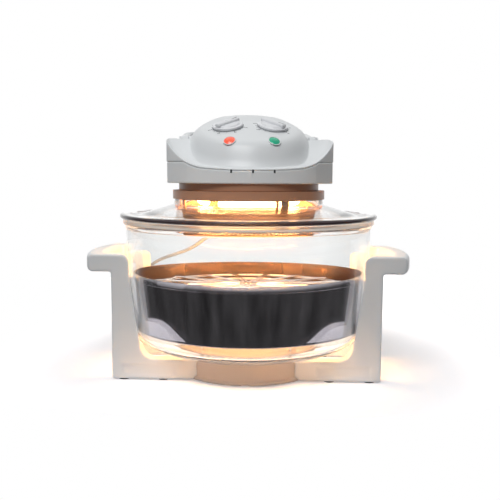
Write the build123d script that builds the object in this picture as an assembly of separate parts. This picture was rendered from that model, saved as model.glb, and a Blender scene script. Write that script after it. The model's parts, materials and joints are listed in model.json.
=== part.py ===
from build123d import *
import os
from math import atan2, cos, degrees, pi, radians, sin, sqrt, tan

os.makedirs("parts", exist_ok=True)

# A worktop halogen oven. Origin on the worktop under the bowl's axis, front towards -Y, +Z up.

# ---------- driving dimensions (mm) ----------
SEAT_GAP = 0.3          # left between loose pieces that rest on each other
RUN_FIT = 0.05          # radial clearance of a turning or sliding pin

# stand
DISH_R = 93.5           # round centre of the stand
DISH_TOP = 29.0
DISH_WALL = 3.0
LIP_OUT = 2.5           # the bottom lip stands this far outside the dish
LIP_H = 4.0
PAD_LIFT = 1.5          # the rubber pads hold the plastic this far up
PAD_R = 7.0
PAD_SINK = 1.5          # pocket that holds each pad
FRAME_OUT = 9.3         # the uprights' outer face stands this far outside the bowl
FRAME_Y = 71.0          # front face of the front legs
LEG_T = 19.0            # leg thickness, front to back
FOOT_TOP = 27.5
FRAME_TOP = 160.5
GRIP_H = 21.9           # height of the hand grips
GRIP_T = 24.0           # thickness of the hand grips
FINGER_ROOM = 26.3      # between the bowl and the hand grips
GRIP_ROUND = 6.0
SHOULDER_ROUND = 9.0    # top corner of the uprights, next to the bowl
BOWL_CLEAR = 1.4        # play between the bowl and the uprights
FOOT_X = 134.0          # the feet's flat tops end here, at the uprights
FOOT_ROUND = 19.0       # inner corner between a foot and its upright
PANEL_W, PANEL_H = 68.9, 14.2
PANEL_EDGE = 12.5       # plain border beside the sunk panel
PANEL_Z0 = 6.4
PANEL_DEEP = 1.2
TONGUE_T = 9.0          # foot tongue that reaches under the dish
TONGUE_IN = 26.0
SCREW_R = 1.8
SCREW_HEAD_R = 3.6
SCREW_HEAD_T = 2.2
BOSS_R = 5.0

# glass bowl
BOWL_T = 3.7
BOWL_MID_R = 160.7      # outer radius of the upright part of the wall
BOWL_TAPER = 8.5        # the wall starts this much further in
BOWL_CORNER = 67.2      # width of the curved part around the flat bottom
BOWL_LOW_H = 33.0       # height of that curved part
BOWL_HEEL_R = 20.0      # its outer end, where it turns up into the wall
BOWL_MID_Z = 126.0
RIM_OUT = 4.3           # the rim stands this far outside the wall
RIM_H = 7.2
RIM_FLARE = 6.5         # height of the flare below the rim
RIM_Z1 = 203.7

# steel extension ring inside the bowl
SHEET = 1.2
EXT_TOP_Z = 135.0
EXT_PLAY = 3.0          # between the ring's collar and the bowl
COLLAR_H = 8.0
BEAD_R = 1.8

# wire rack
WIRE_R = 2.0
SPOKE_R = 1.4
RACK_PLAY = 24.0        # between the rack and the extension ring
RACK_Z = 113.5
RACK_LEG_IN = 6.0      # the rack's feet stand this far inside the bowl's flat
RACK_HUB_R = 16.0
RACK_VEES = 16

# glass lid
LID_OVER = 3.6          # the lid reaches this far past the bowl's rim
LID_T = 4.6
LID_EDGE_T = 5.5        # thickness of the lid's rolled edge
LID_NECK_R = 98.5
LID_RISE = 12.5         # from the rolled edge up to the neck
LID_NECK_H = 7.0
RIB_PLAY = 2.5          # between the lid's locating rib and the bowl
LID_RIB_H = 5.0

# head: collar and neck
COLLAR_OVER = 1.5       # the collar covers the glass neck's end and this much more
COLLAR_WALL = 6.0
HEAD_COLLAR_H = 11.0
NECK_STEP = 8.0         # the neck above the collar is this much smaller
NECK_H = 9.5
SKIN = 2.5              # wall of the plastic covers

# head: plan and saddle top
BAND_R = 125.0          # radius of the front and back bands
HEAD_OVER = 3.0         # the bands stand this far in front of the neck
TIP_OVER = 11.0         # the flat ends stand this much further out than the bands
CORNER_W = 26.0         # width of the angled corners
TIP_Y = 38.0
HEAD_TURN = 5.0         # degrees, how far the head stands turned on the round lid
SEAM_H = 26.5           # height of the seam above the underside
SADDLE_H = 17.8         # height of the saddle's front edge above the underside
SADDLE_WING = 48.0      # width of the rising wings at each side of the saddle's flat middle
WING_PAST = 2.5         # the wings' curve would be upright this far outside the flat ends
WING_H = 39.0           # height of the wings' whole curve
SADDLE_TILT = 9.6       # degrees, rising to the back
STEP = 0.8              # the top cover stands proud at the seam

# head: dome, tilted forwards
DOME_IN = 19.0          # ledge left around the dome
DOME_EDGE_R = 20.0
DOME_CAP_R = 260.0
DOME_TILT = 17.0
DOME_Y = -8.0
DOME_H = 52.0           # height of the dome's level above the underside

# controls on the dome, in the dome's own tilted frame
KNOB_X = 28.5
KNOB_S = -14.0
KNOB_R = 19.5
KNOB_H = 10.0
GRIP_W = 9.0
GRIP_TURN = 50.0        # degrees, the dials' grips at rest, away from straight up the dome
SHAFT_R = 3.0
LENS_X = 27.5
LENS_R = 6.8
LENS_RISE = 64.0        # direction that the lenses face, above the dome's own level
TIMER_BOX = 26.0
TIMER_DEEP = 15.0

# folding carry handle and its safety switch
BAIL_OUT = 8.0          # the handle's pivots stand this far outside the dome
PIVOT_Y = 2.0
PIVOT_RISE = 2.5        # height of the pivots above the dome's level
BAIL_R = 5.5
BAIL_REACH = 92.0       # from the pivots back to the grip
BAIL_RISE = 12.0        # the folded grip lies this much higher than the pivots
HUB_R = 8.5
HUB_T = 9.0
CAM_OFF = 2.4
CAM_START = -38.5       # degrees, direction of the cam's throw when folded
PIN_R = 3.5
PLUNGER_R = 2.5

# heater and fans
MOTOR_R, MOTOR_L = 25.0, 28.0
MOTOR_UP = 16.5         # height of the motor above the head's underside
AXLE_R = 2.5
FAN_IN = 16.0           # the heater fan is this much smaller than the lamp's ring
FAN_H = 8.0
COOL_R = 36.0
BLADE_T = 1.2
LAMP_IN = 27.0          # the lamp's ring is this much smaller than the guard
LAMP_R = 5.0
LAMP_DROP = 7.0         # the lamp hangs this far below the collar
LAMP_GAP_AT = 222.0     # degrees, where the tube's ends turn up
GUARD_PLAY = 0.7        # the guard's rim is this much smaller than the reflector
GUARD_DROP = 6.8        # the guard's rim lies this far below the lamp
GUARD_H = 15.7
GUARD_TAPER = 7.0
GUARD_MESH = 22.0       # spacing of the guard's wire hoops
GUARD_WIRE_R = 1.1
GLASS_PLAY = 2.2        # between the reflector and the glass neck
GUARD_POSTS = 4
POST_AT = 20.0
POST_R = 1.8

# power cord
CORD_R = 3.5
GLAND_H = 12.5          # height of the cord's outlet above the head's underside
GLAND_OUT = 22.0        # length of the strain relief outside the head
CORD_STRAIGHT = 24.0    # the cord goes this far straight out of it
COIL_X, COIL_Y = -30.0, 320.0
COIL_R = 38.0           # to the middle of a turn
COIL_LAYERS = 2
PLUG_W, PLUG_L, PLUG_H = 25.0, 36.0, 17.0
PLUG_PIN_R, PLUG_PIN_L = 2.4, 19.0
BOOT_L = 14.0

# ---------- worked out: the stand, bowl and rack ----------
LIP_R = DISH_R + LIP_OUT
BOWL_LOW_R = BOWL_MID_R - BOWL_TAPER
BOWL_FLAT_R = BOWL_LOW_R - BOWL_CORNER
BOWL_LOW_Z = DISH_TOP + BOWL_LOW_H
HEEL_X = BOWL_LOW_R - BOWL_HEEL_R
BELLY_R = ((HEEL_X - BOWL_FLAT_R) ** 2 + BOWL_LOW_H ** 2 - BOWL_HEEL_R ** 2) / (2 * (BOWL_LOW_H - BOWL_HEEL_R))
RIM_R = BOWL_MID_R + RIM_OUT
RIM_Z0 = RIM_Z1 - RIM_H
BOWL_NECK_Z = RIM_Z0 - RIM_FLARE
FRAME_X = BOWL_MID_R + FRAME_OUT
GRIP_BOTTOM = FRAME_TOP - GRIP_H
GRIP_IN_R = BOWL_MID_R + FINGER_ROOM
GRIP_R = GRIP_IN_R + GRIP_T
PANEL_X1 = FRAME_X - PANEL_EDGE
EXT_TOP_R = BOWL_MID_R - BOWL_T - EXT_PLAY
RACK_R = EXT_TOP_R - RACK_PLAY
RACK_LEG_R = BOWL_FLAT_R - RACK_LEG_IN

# ---------- worked out: the lid and head ----------
LID_R = RIM_R + LID_OVER
LID_TOP = RIM_Z1 + SEAT_GAP + LID_EDGE_T
LID_NECK_Z0 = LID_TOP + LID_RISE
LID_NECK_Z1 = LID_NECK_Z0 + LID_NECK_H
LID_RIB_R = BOWL_MID_R - BOWL_T - RIB_PLAY
COLLAR_R = LID_NECK_R + COLLAR_OVER
COLLAR_Z0 = LID_NECK_Z1
COLLAR_Z1 = COLLAR_Z0 + HEAD_COLLAR_H
NECK_R = COLLAR_R - NECK_STEP
HEAD_Z0 = COLLAR_Z1 + NECK_H    # underside of the head
FLOOR_Z = HEAD_Z0 + SKIN
HEAD_Y = NECK_R + HEAD_OVER
TIP_X = HEAD_Y + TIP_OVER
BAND_X = TIP_X - CORNER_W
SEAM_Z = HEAD_Z0 + SEAM_H
SADDLE_Z = HEAD_Z0 + SADDLE_H
SADDLE_FLAT_X = TIP_X - SADDLE_WING
DOME_R = HEAD_Y - DOME_IN
DOME_Z = HEAD_Z0 + DOME_H
BAIL_X = DOME_R + BAIL_OUT
PIVOT_Z = DOME_Z + PIVOT_RISE
BAIL_BACK_Y = PIVOT_Y + BAIL_REACH
BAIL_BACK_Z = PIVOT_Z + BAIL_RISE
MOTOR_Z0 = HEAD_Z0 + MOTOR_UP
MOTOR_Z1 = MOTOR_Z0 + MOTOR_L
GLAND_Z = HEAD_Z0 + GLAND_H

# ---------- worked out: the heater ----------
PLATE_R = LID_NECK_R - LID_T - GLASS_PLAY
PLATE_Z1 = COLLAR_Z1 - SKIN
PLATE_Z0 = PLATE_Z1 - SHEET
GUARD_R = PLATE_R - GUARD_PLAY
GUARD_LOW_R = GUARD_R - GUARD_TAPER
LAMP_RING_R = GUARD_R - LAMP_IN
LAMP_Z = COLLAR_Z0 - LAMP_DROP
GUARD_Z1 = LAMP_Z - GUARD_DROP
GUARD_Z0 = GUARD_Z1 - GUARD_H
FAN_R = LAMP_RING_R - FAN_IN

# ---------- worked out: fixings ----------
LEG_Y = FRAME_Y - LEG_T / 2
TONGUE_Z = PAD_LIFT + 5
TONGUE_TOP = TONGUE_Z + TONGUE_T
PAD_X = (FRAME_X - 14, DISH_R + 12)     # two pads under each foot
CORNERS = [(side, end) for side in (-1, 1) for end in (-1, 1)]
GLAND_R = 6.0
BUSH_R = 5.0
HANDLE_BEND = 26.0

# power cord, lying behind the oven: from the strain relief down to the worktop and on to the coil
CORD_HANGS = [
    (-21, 172, 247),
    (-48, 193, 208),
]
CORD_LIES = [
    (-97, 200, 160),
    (-128, 212, 147),
    (-162, 230, 134),
    (-195, 250, 108),
    (-213, 267, 68),
    (-214, 276, 29),
    (-203, 279.5, 9.5),
    (-180, 281, CORD_R),
    (-141, 284, CORD_R),
    (-98, 280, CORD_R),
    (-62, 283, CORD_R),
    (-38, 282, CORD_R),
]


# ---------- helpers ----------
def turned(*edges):
    """Solid of revolution about Z from the edges of a closed half section in the XZ plane."""
    return revolve(make_face(Curve() + list(edges)), axis=Axis.Z)


def turned_poly(*points):
    return turned(Polyline(*[(r, 0, z) for r, z in points], close=True))


def tube(r_in, r_out, z0, z1):
    return turned_poly((r_in, z0), (r_out, z0), (r_out, z1), (r_in, z1))


def disc(r, z0, z1):
    return Pos(0, 0, z0) * Cylinder(r, z1 - z0, align=(Align.CENTER, Align.CENTER, Align.MIN))


def block(x0, x1, y0, y1, z0, z1):
    return Pos(x0, y0, z0) * Box(x1 - x0, y1 - y0, z1 - z0, align=(Align.MIN,) * 3)


def rod(a, b, r):
    """Round bar from point a to point b."""
    a, b = Vector(*a), Vector(*b)
    return Plane(a, z_dir=b - a) * Cylinder(r, (b - a).length, align=(Align.CENTER, Align.CENTER, Align.MIN))


def hoop(radius, wire, z):
    return Pos(0, 0, z) * Torus(radius, wire)


def both_sides(shape):
    return shape + mirror(shape, Plane.YZ)


def on_circle(radius, angle, z=0):
    return (radius * cos(radians(angle)), radius * sin(radians(angle)), z)


def save(name, shape):
    solids = shape.solids()
    shape = solids[0] if len(solids) == 1 else Compound(children=solids)
    export_step(shape, f"parts/{name}.step")
    return shape


def save_on_head(name, shape):
    """Saves a part of the head, turned as the head stands on the lid."""
    return save(name, Rot(0, 0, HEAD_TURN) * shape)


# ---------- glass bowl ----------
def bowl_solid(inset, top):
    """The bowl's outer form, moved inwards by inset (outwards when negative)."""
    flat, low, mid = BOWL_FLAT_R, BOWL_LOW_R - inset, BOWL_MID_R - inset
    z0 = DISH_TOP + inset
    lean = (HEEL_X - flat, BOWL_LOW_H - BELLY_R)
    share = (BELLY_R - inset) / (BELLY_R - BOWL_HEEL_R)
    meet = (flat + lean[0] * share, 0, DISH_TOP + BELLY_R + lean[1] * share)
    return turned(
        Line((0, 0, z0), (flat, 0, z0)),
        TangentArc((flat, 0, z0), meet, tangent=(1, 0, 0)),
        TangentArc(meet, (low, 0, BOWL_LOW_Z), tangent=(-lean[1], 0, lean[0])),
        Line((low, 0, BOWL_LOW_Z), (mid, 0, BOWL_MID_Z)),
        Line((mid, 0, BOWL_MID_Z), (mid, 0, top)),
        Line((mid, 0, top), (0, 0, top)),
        Line((0, 0, top), (0, 0, z0)),
    )


def glass_bowl():
    rim = turned_poly(
        (BOWL_MID_R - BOWL_T, BOWL_NECK_Z),
        (BOWL_MID_R, BOWL_NECK_Z),
        (RIM_R, RIM_Z0),
        (RIM_R, RIM_Z1),
        (BOWL_MID_R - BOWL_T, RIM_Z1),
    )
    return bowl_solid(0, RIM_Z1) + rim - bowl_solid(BOWL_T, RIM_Z1 + 1)


def bowl_inner_r(z):
    """Inner radius of the wall between its low and middle heights."""
    share = (z - BOWL_LOW_Z) / (BOWL_MID_Z - BOWL_LOW_Z)
    return BOWL_LOW_R - BOWL_T + share * (BOWL_MID_R - BOWL_LOW_R)


save("glass_bowl", glass_bowl())


# ---------- stand ----------
def tongue(side, end, grow=0):
    """Part of a foot that passes through the dish's skirt; grow leaves play around it."""
    y = end * LEG_Y
    half = LEG_T / 2 - 3 + grow
    x_in = sqrt(DISH_R ** 2 - LEG_Y ** 2) - TONGUE_IN
    x_out = DISH_R + 4
    z0 = TONGUE_Z - grow
    bar = block(x_in - grow, x_out, y - half, y + half, z0, z0 + TONGUE_T + 2 * grow)
    return bar if side > 0 else mirror(bar, Plane.YZ)


def tongue_hole(side, end):
    x = sqrt(DISH_R ** 2 - LEG_Y ** 2) - TONGUE_IN + BOSS_R + 2
    return (side * x, end * LEG_Y)


def base_dish():
    outer = disc(DISH_R, PAD_LIFT, DISH_TOP) + disc(LIP_R, PAD_LIFT, PAD_LIFT + LIP_H)
    dish = outer - disc(DISH_R - DISH_WALL, 0, DISH_TOP - DISH_WALL)
    for side, end in CORNERS:
        x, y = tongue_hole(side, end)
        dish += Pos(x, y) * disc(BOSS_R, TONGUE_TOP, DISH_TOP - 1)
    for side, end in CORNERS:
        x, y = tongue_hole(side, end)
        dish -= tongue(side, end, 0.4)
        dish += Pos(x, y) * disc(BOSS_R, TONGUE_TOP, TONGUE_TOP + 1)
        dish -= Pos(x, y) * disc(SCREW_R, 0, TONGUE_TOP + 7)
    notch = block(-4.2, 4.2, -LIP_R - 1, -DISH_R + 0.5, 0, PAD_LIFT + LIP_H - 1.5)
    return dish - notch


def grip_ring(r_in):
    """Full turn of the hand grip's section, from r_in out to its rounded outer edge."""
    middle = ((GRIP_R + r_in) / 2, 0, (FRAME_TOP + GRIP_BOTTOM) / 2)
    section = Plane(middle, x_dir=(1, 0, 0), z_dir=(0, -1, 0))
    return revolve(section * RectangleRounded(GRIP_R - r_in, FRAME_TOP - GRIP_BOTTOM, GRIP_ROUND), Axis.Z)


def shoulder_round(r):
    """What rounds off the top corner of the uprights, next to the bowl."""
    corner = tube(r - 1, r + SHOULDER_ROUND, FRAME_TOP - SHOULDER_ROUND, FRAME_TOP + 1)
    return corner - hoop(r + SHOULDER_ROUND, SHOULDER_ROUND, FRAME_TOP - SHOULDER_ROUND)


def foot_room():
    """Space above a foot, with a rounded corner at the upright."""
    x, z, y = FOOT_X - FOOT_ROUND, FOOT_TOP + FOOT_ROUND, FRAME_Y + 1
    corner = rod((x, -y, z), (x, y, z), FOOT_ROUND)
    return corner + block(0, x, -y, y, FOOT_TOP, FRAME_TOP + 1) + block(0, FOOT_X, -y, y, z, FRAME_TOP + 1)


def side_frame():
    """Right-hand frame: two legs and the curved hand grip that joins them."""
    inner_y = FRAME_Y - LEG_T
    foot_x = sqrt(DISH_R ** 2 - FRAME_Y ** 2) - 1
    far_x = GRIP_R + 1
    solid = [grip_ring(GRIP_IN_R) & block(FRAME_X / 2, far_x, -inner_y, inner_y, 0, FRAME_TOP + 1)]
    bracket = grip_ring(BOWL_MID_R - 30)
    taken = [
        bowl_solid(-BOWL_CLEAR, FRAME_TOP + 1),
        shoulder_round(BOWL_MID_R + BOWL_CLEAR),
        foot_room(),
        disc(DISH_R, 0, DISH_TOP + 5),
        disc(LIP_R, 0, PAD_LIFT + LIP_H),
    ]
    for end in (-1, 1):
        y0, y1 = sorted((end * FRAME_Y, end * (FRAME_Y - LEG_T)))
        solid += [block(foot_x, FRAME_X, y0, y1, PAD_LIFT, FRAME_TOP)]
        solid += [bracket & block(FRAME_X / 2, far_x, y0, y1, 0, FRAME_TOP + 1)]
        face, deep = end * (FRAME_Y + 1), end * (FRAME_Y - PANEL_DEEP)
        y0, y1 = sorted((face, deep))
        taken += [block(PANEL_X1 - PANEL_W, PANEL_X1, y0, y1, PANEL_Z0, PANEL_Z0 + PANEL_H)]
        taken += [Pos(x, end * LEG_Y) * disc(PAD_R, 0, PAD_LIFT + PAD_SINK) for x in PAD_X]
    frame = (Part() + solid) - taken
    frame += [tongue(1, end) for end in (-1, 1)]
    return frame - [Pos(*tongue_hole(1, end)) * disc(SCREW_R, 0, DISH_TOP) for end in (-1, 1)]


def rubber_pads():
    pads = []
    for side, end in CORNERS:
        pads += [Pos(side * x, end * LEG_Y) * disc(PAD_R, 0, PAD_LIFT + PAD_SINK) for x in PAD_X]
    return Compound(children=pads)


def stand_screws():
    screws = []
    for side, end in CORNERS:
        head = disc(SCREW_HEAD_R, TONGUE_Z - SCREW_HEAD_T, TONGUE_Z)
        screw = disc(SCREW_R, TONGUE_Z, TONGUE_TOP + 7) + head
        x, y = tongue_hole(side, end)
        screws.append(Pos(x, y) * screw)
    return Compound(children=screws)


save("base_dish", base_dish())
right_frame = save("right_side_frame", side_frame())
save("left_side_frame", mirror(right_frame, Plane.YZ))
save("rubber_pads", rubber_pads())
save("stand_screws", stand_screws())


# ---------- extension ring and rack ----------
def extension_ring():
    low_r = bowl_inner_r(BOWL_LOW_Z + BEAD_R) - BEAD_R - 0.1
    low_z = BOWL_LOW_Z + BEAD_R
    bend_z = EXT_TOP_Z - COLLAR_H
    wall_top = EXT_TOP_R - SHEET / 2
    wall = turned_poly(
        (low_r + BEAD_R - SHEET, low_z),
        (low_r + BEAD_R, low_z),
        (wall_top, bend_z),
        (EXT_TOP_R, bend_z),
        (EXT_TOP_R, EXT_TOP_Z),
        (wall_top - SHEET - 1, EXT_TOP_Z),
        (wall_top - SHEET - 1, EXT_TOP_Z - SHEET),
        (wall_top - SHEET, bend_z),
    )
    return wall + hoop(low_r, BEAD_R, low_z)


def high_rack():
    spoke_z = RACK_Z + (WIRE_R + SPOKE_R) * 0.76
    wires = [hoop(r, WIRE_R, RACK_Z) for r in (RACK_R, RACK_LEG_R, RACK_HUB_R)]
    step = 360 / RACK_VEES
    for i in range(RACK_VEES):
        inner = on_circle(RACK_HUB_R - 3, i * step, spoke_z)
        for turn in (-0.46, 0.46):
            outer = on_circle(RACK_R + 1, (i + turn) * step, spoke_z)
            wires.append(rod(inner, outer, SPOKE_R))
    return Part() + wires


def rack_legs():
    """Four straight legs, butt-welded under the rack's middle hoop."""
    spots = [on_circle(RACK_LEG_R, 45 + 90 * i) for i in range(4)]
    return Compound(children=[Pos(x, y) * disc(WIRE_R, DISH_TOP + BOWL_T, RACK_Z - WIRE_R) for x, y, _ in spots])


save("extension_ring", extension_ring())
save("high_rack", high_rack())
save("rack_legs", rack_legs())


# ---------- glass lid ----------
def glass_lid():
    under = RIM_Z1 + SEAT_GAP
    neck_in = LID_NECK_R - LID_T
    mid_r, mid_z = (LID_NECK_R + LID_RIB_R) / 2, LID_TOP + LID_RISE * 0.32
    flat_r, flat_z = LID_RIB_R - 8.5, LID_TOP - 1.5
    top = [
        (LID_RIB_R, LID_TOP - 1),
        (LID_RIB_R + 3, LID_TOP),
        (LID_R - 2, LID_TOP),
    ]
    edge = ThreePointArc((LID_R - 2, 0, LID_TOP), (LID_R, 0, (LID_TOP + under) / 2), (LID_R - 2, 0, under))
    upper = Polyline(*[(r, 0, z) for r, z in top])
    slope = Spline(
        (LID_NECK_R, 0, LID_NECK_Z0),
        (mid_r, 0, mid_z),
        (flat_r, 0, flat_z),
        (LID_RIB_R, 0, LID_TOP - 1),
    )
    below = Spline(
        (LID_RIB_R - LID_T, 0, under),
        (flat_r - 1, 0, flat_z - LID_T),
        (mid_r - 2, 0, mid_z - LID_T),
        (neck_in, 0, LID_NECK_Z0 - LID_T * 0.9),
    )
    return turned(
        Line((neck_in, 0, LID_NECK_Z1), (LID_NECK_R, 0, LID_NECK_Z1)),
        Line((LID_NECK_R, 0, LID_NECK_Z1), (LID_NECK_R, 0, LID_NECK_Z0)),
        slope,
        upper,
        edge,
        Line((LID_R - 2, 0, under), (LID_RIB_R, 0, under)),
        Line((LID_RIB_R, 0, under), (LID_RIB_R, 0, under - LID_RIB_H)),
        Line((LID_RIB_R, 0, under - LID_RIB_H), (LID_RIB_R - LID_T, 0, under - LID_RIB_H)),
        Line((LID_RIB_R - LID_T, 0, under - LID_RIB_H), (LID_RIB_R - LID_T, 0, under)),
        below,
        Line((neck_in, 0, LID_NECK_Z0 - LID_T * 0.9), (neck_in, 0, LID_NECK_Z1)),
    )


save("glass_lid", glass_lid())


# ---------- head: collar, neck and lower housing ----------
def head_plan(inset=0.0):
    """Plan of the head: curved front and back bands, angled corners and flat ends."""
    y = HEAD_Y - (BAND_R - sqrt(BAND_R ** 2 - BAND_X ** 2))
    face = make_face(
        Curve()
        + [
            ThreePointArc((-BAND_X, -y), (0, -HEAD_Y), (BAND_X, -y)),
            Polyline((BAND_X, -y), (TIP_X, -TIP_Y), (TIP_X, TIP_Y), (BAND_X, y)),
            ThreePointArc((BAND_X, y), (0, HEAD_Y), (-BAND_X, y)),
            Polyline((-BAND_X, y), (-TIP_X, TIP_Y), (-TIP_X, -TIP_Y), (-BAND_X, -y)),
        ]
    )
    return offset(face, -inset, kind=Kind.INTERSECTION) if inset else face


def plan_solid(inset, z0, z1):
    return extrude(Pos(0, 0, z0) * head_plan(inset), z1 - z0)


def below_saddle(drop):
    """Everything under the saddle surface lowered by drop."""
    y = -HEAD_Y - 10
    z = SADDLE_Z - drop - 10 * tan(radians(SADDLE_TILT))
    wide, high = SADDLE_WING + WING_PAST + drop, WING_H + drop
    end_x, end_z, low = SADDLE_FLAT_X + wide, z + high, HEAD_Z0 - 60
    wing = EllipticalCenterArc((SADDLE_FLAT_X, end_z), wide, high, start_angle=-90, arc_size=90)
    section = Plane((0, y, 0), x_dir=(1, 0, 0), z_dir=(0, -1, 0)) * make_face(
        Curve()
        + [
            wing,
            mirror(wing, Plane.YZ),
            Line((-SADDLE_FLAT_X, z), (SADDLE_FLAT_X, z)),
            Polyline((end_x, end_z), (end_x, low), (-end_x, low), (-end_x, end_z)),
        ]
    )
    tilt = radians(SADDLE_TILT)
    return extrude(section, 2.3 * HEAD_Y, dir=(0, cos(tilt), sin(tilt)))


DOME = Location((0, DOME_Y, DOME_Z), (DOME_TILT, 0, 0))
CAP_DROP = sqrt((DOME_CAP_R - DOME_EDGE_R) ** 2 - (DOME_R - DOME_EDGE_R) ** 2)


def dome_form(inset=0.0):
    """The tilted dome, with a straight wall down from its shoulder."""
    r, edge, cap = DOME_R - inset, DOME_EDGE_R - inset, DOME_CAP_R - inset
    mid_r = DOME_R - DOME_EDGE_R
    lean = atan2(CAP_DROP, mid_r)
    meet = (cap * cos(lean), 0, cap * sin(lean) - CAP_DROP)
    shoulder = (mid_r + edge * cos(lean / 2), 0, edge * sin(lean / 2))
    crown = (lean + pi / 2) / 2
    top = turned(
        Line((0, 0, 0), (r, 0, 0)),
        ThreePointArc((r, 0, 0), shoulder, meet),
        ThreePointArc(meet, (cap * cos(crown), 0, cap * sin(crown) - CAP_DROP), (0, 0, cap - CAP_DROP)),
        Line((0, 0, cap - CAP_DROP), (0, 0, 0)),
    )
    skirt = extrude(DOME * Circle(r), DOME_R, dir=(0, 0, -1))
    return (DOME * top) + skirt


def dome_place(x, s, rise=None):
    """Plane on the dome's skin, facing out. x and s are across and along the dome's own level."""
    if rise is None:
        up = sqrt(DOME_CAP_R ** 2 - x ** 2 - s ** 2)
        normal = Vector(x, s, up) / DOME_CAP_R
        point = Vector(x, s, up - CAP_DROP)
    else:
        out = DOME_R - DOME_EDGE_R + DOME_EDGE_R * cos(radians(rise))
        s = -sqrt(out ** 2 - x ** 2)
        normal = Vector(x / out * cos(radians(rise)), s / out * cos(radians(rise)), sin(radians(rise)))
        point = Vector(x, s, DOME_EDGE_R * sin(radians(rise)))
    turn = DOME.position
    return Plane(
        point.rotate(Axis.X, DOME_TILT) + turn,
        x_dir=Vector(1, 0, 0) - normal * normal.X,
        z_dir=normal.rotate(Axis.X, DOME_TILT),
    )


PIVOT = (PIVOT_Y, PIVOT_Z)
PLUNGER_Y = PIVOT_Y + 2.1
PLUNGER_TOP = PIVOT_Z + CAM_OFF * sin(radians(CAM_START)) - HUB_R - 0.35
SWITCH_Z0, SWITCH_Z1 = FLOOR_Z + 13.0, FLOOR_Z + 29.0
SCREW_SPOTS = [(side * (BAIL_X + 8), end * 28) for side in (-1, 1) for end in (-1, 1)]
FLOOR_HOLE_R = COOL_R + 2
BRIDGE_X = FLOOR_HOLE_R + 14
BRIDGE_SCREW_X = BRIDGE_X + 8
BRIDGE_T = 2.0
BRIDGE_W = 28.0
BRIDGE_Z = MOTOR_Z0 - 2.5


def across(r, x0, x1, y, z):
    """Round bar along X."""
    return rod((x0, y, z), (x1, y, z), r)


def head_base():
    walls = plan_solid(0, HEAD_Z0, SEAM_Z) & block(STEP - TIP_X, TIP_X - STEP, -HEAD_Y, HEAD_Y, 0, SEAM_Z)
    tub = (walls & below_saddle(SKIN)) - plan_solid(SKIN, FLOOR_Z, SEAM_Z + 1)
    tub += tube(NECK_R - SKIN, NECK_R, COLLAR_Z1, HEAD_Z0)
    pillar = block(BAIL_X - 5, BAIL_X + 5, PLUNGER_Y - 9, PLUNGER_Y + 9, HEAD_Z0, SWITCH_Z0)
    tub += pillar
    cuts = [disc(FLOOR_HOLE_R, 0, FLOOR_Z + 1), along_y(GLAND_R, HEAD_Y - 20, HEAD_Y + 1)]
    for x, y in SCREW_SPOTS:
        cuts += [Pos(x, y) * (disc(SCREW_R, 0, SEAM_Z) + disc(SCREW_HEAD_R, 0, HEAD_Z0 + 1.2))]
    cuts += [Pos(side * BRIDGE_SCREW_X, 0) * disc(SCREW_R, HEAD_Z0 - 1, SEAM_Z) for side in (-1, 1)]
    return tub - cuts


def along_y(r, y0, y1):
    return rod((0, y0, GLAND_Z), (0, y1, GLAND_Z), r)


def head_cover():
    """Saddle and dome in one shell, with screw bosses and the handle's pivot bosses."""
    outer = plan_solid(0, HEAD_Z0, DOME_Z + 60) & below_saddle(0)
    room = below_saddle(SKIN) & (plan_solid(SKIN, 0, DOME_Z + 60) + plan_solid(0, 0, SEAM_Z))
    shell = outer - room
    dome = dome_form() - below_saddle(SKIN)
    bosses = [
        across(PIN_R + 3, side * (DOME_R - 8), side * (BAIL_X - HUB_T / 2 - 0.4), *PIVOT) for side in (-1, 1)
    ]
    shell = (shell + dome + bosses) - dome_form(SKIN)
    posts = [Pos(x, y) * disc(SCREW_R + 2.2, FLOOR_Z, DOME_Z) for x, y in SCREW_SPOTS]
    shell += [post & below_saddle(1) for post in posts]
    cuts = [across(PIN_R, -BAIL_X, BAIL_X, *PIVOT)]
    cuts += [Pos(x, y) * disc(SCREW_R, 0, FLOOR_Z + 12) for x, y in SCREW_SPOTS]
    cuts += [Pos(BAIL_X, PLUNGER_Y) * disc(PLUNGER_R + 0.4, FLOOR_Z, DOME_Z)]
    for side in (-1, 1):
        knob = dome_place(side * KNOB_X, KNOB_S)
        lens = dome_place(side * LENS_X, 0, LENS_RISE)
        cuts += [knob * Cylinder(BUSH_R, 12), lens * Cylinder(LENS_R, 12)]
    for i in range(-3, 4):
        cuts += [block(i * 10 - 2, i * 10 + 2, HEAD_Y - 8, HEAD_Y + 1, SEAM_Z + 5, SEAM_Z + 16)]
    return shell - cuts


def lid_collar():
    wall = tube(COLLAR_R - COLLAR_WALL, COLLAR_R, COLLAR_Z0, COLLAR_Z1)
    return wall + tube(FLOOR_HOLE_R, COLLAR_R, COLLAR_Z1 - SKIN, COLLAR_Z1)


save_on_head("lid_collar", lid_collar())
save_on_head("head_base", head_base())
save_on_head("head_cover", head_cover())


# ---------- heater: reflector, fan, halogen tube and guard ----------
FAN_HUB_R = AXLE_R + 4.5
HOLDER_H = 7.0


def heat_reflector():
    plate = disc(PLATE_R, PLATE_Z0, PLATE_Z1) + tube(PLATE_R - SHEET, PLATE_R, COLLAR_Z0 + 1, PLATE_Z1)
    return plate - disc(FAN_HUB_R + 1.5, COLLAR_Z0, COLLAR_Z1)


def lamp_end(side):
    """Direction of one end of the halogen tube, either side of its gap."""
    return LAMP_GAP_AT + side * degrees(2.6 * LAMP_R / LAMP_RING_R)


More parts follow.
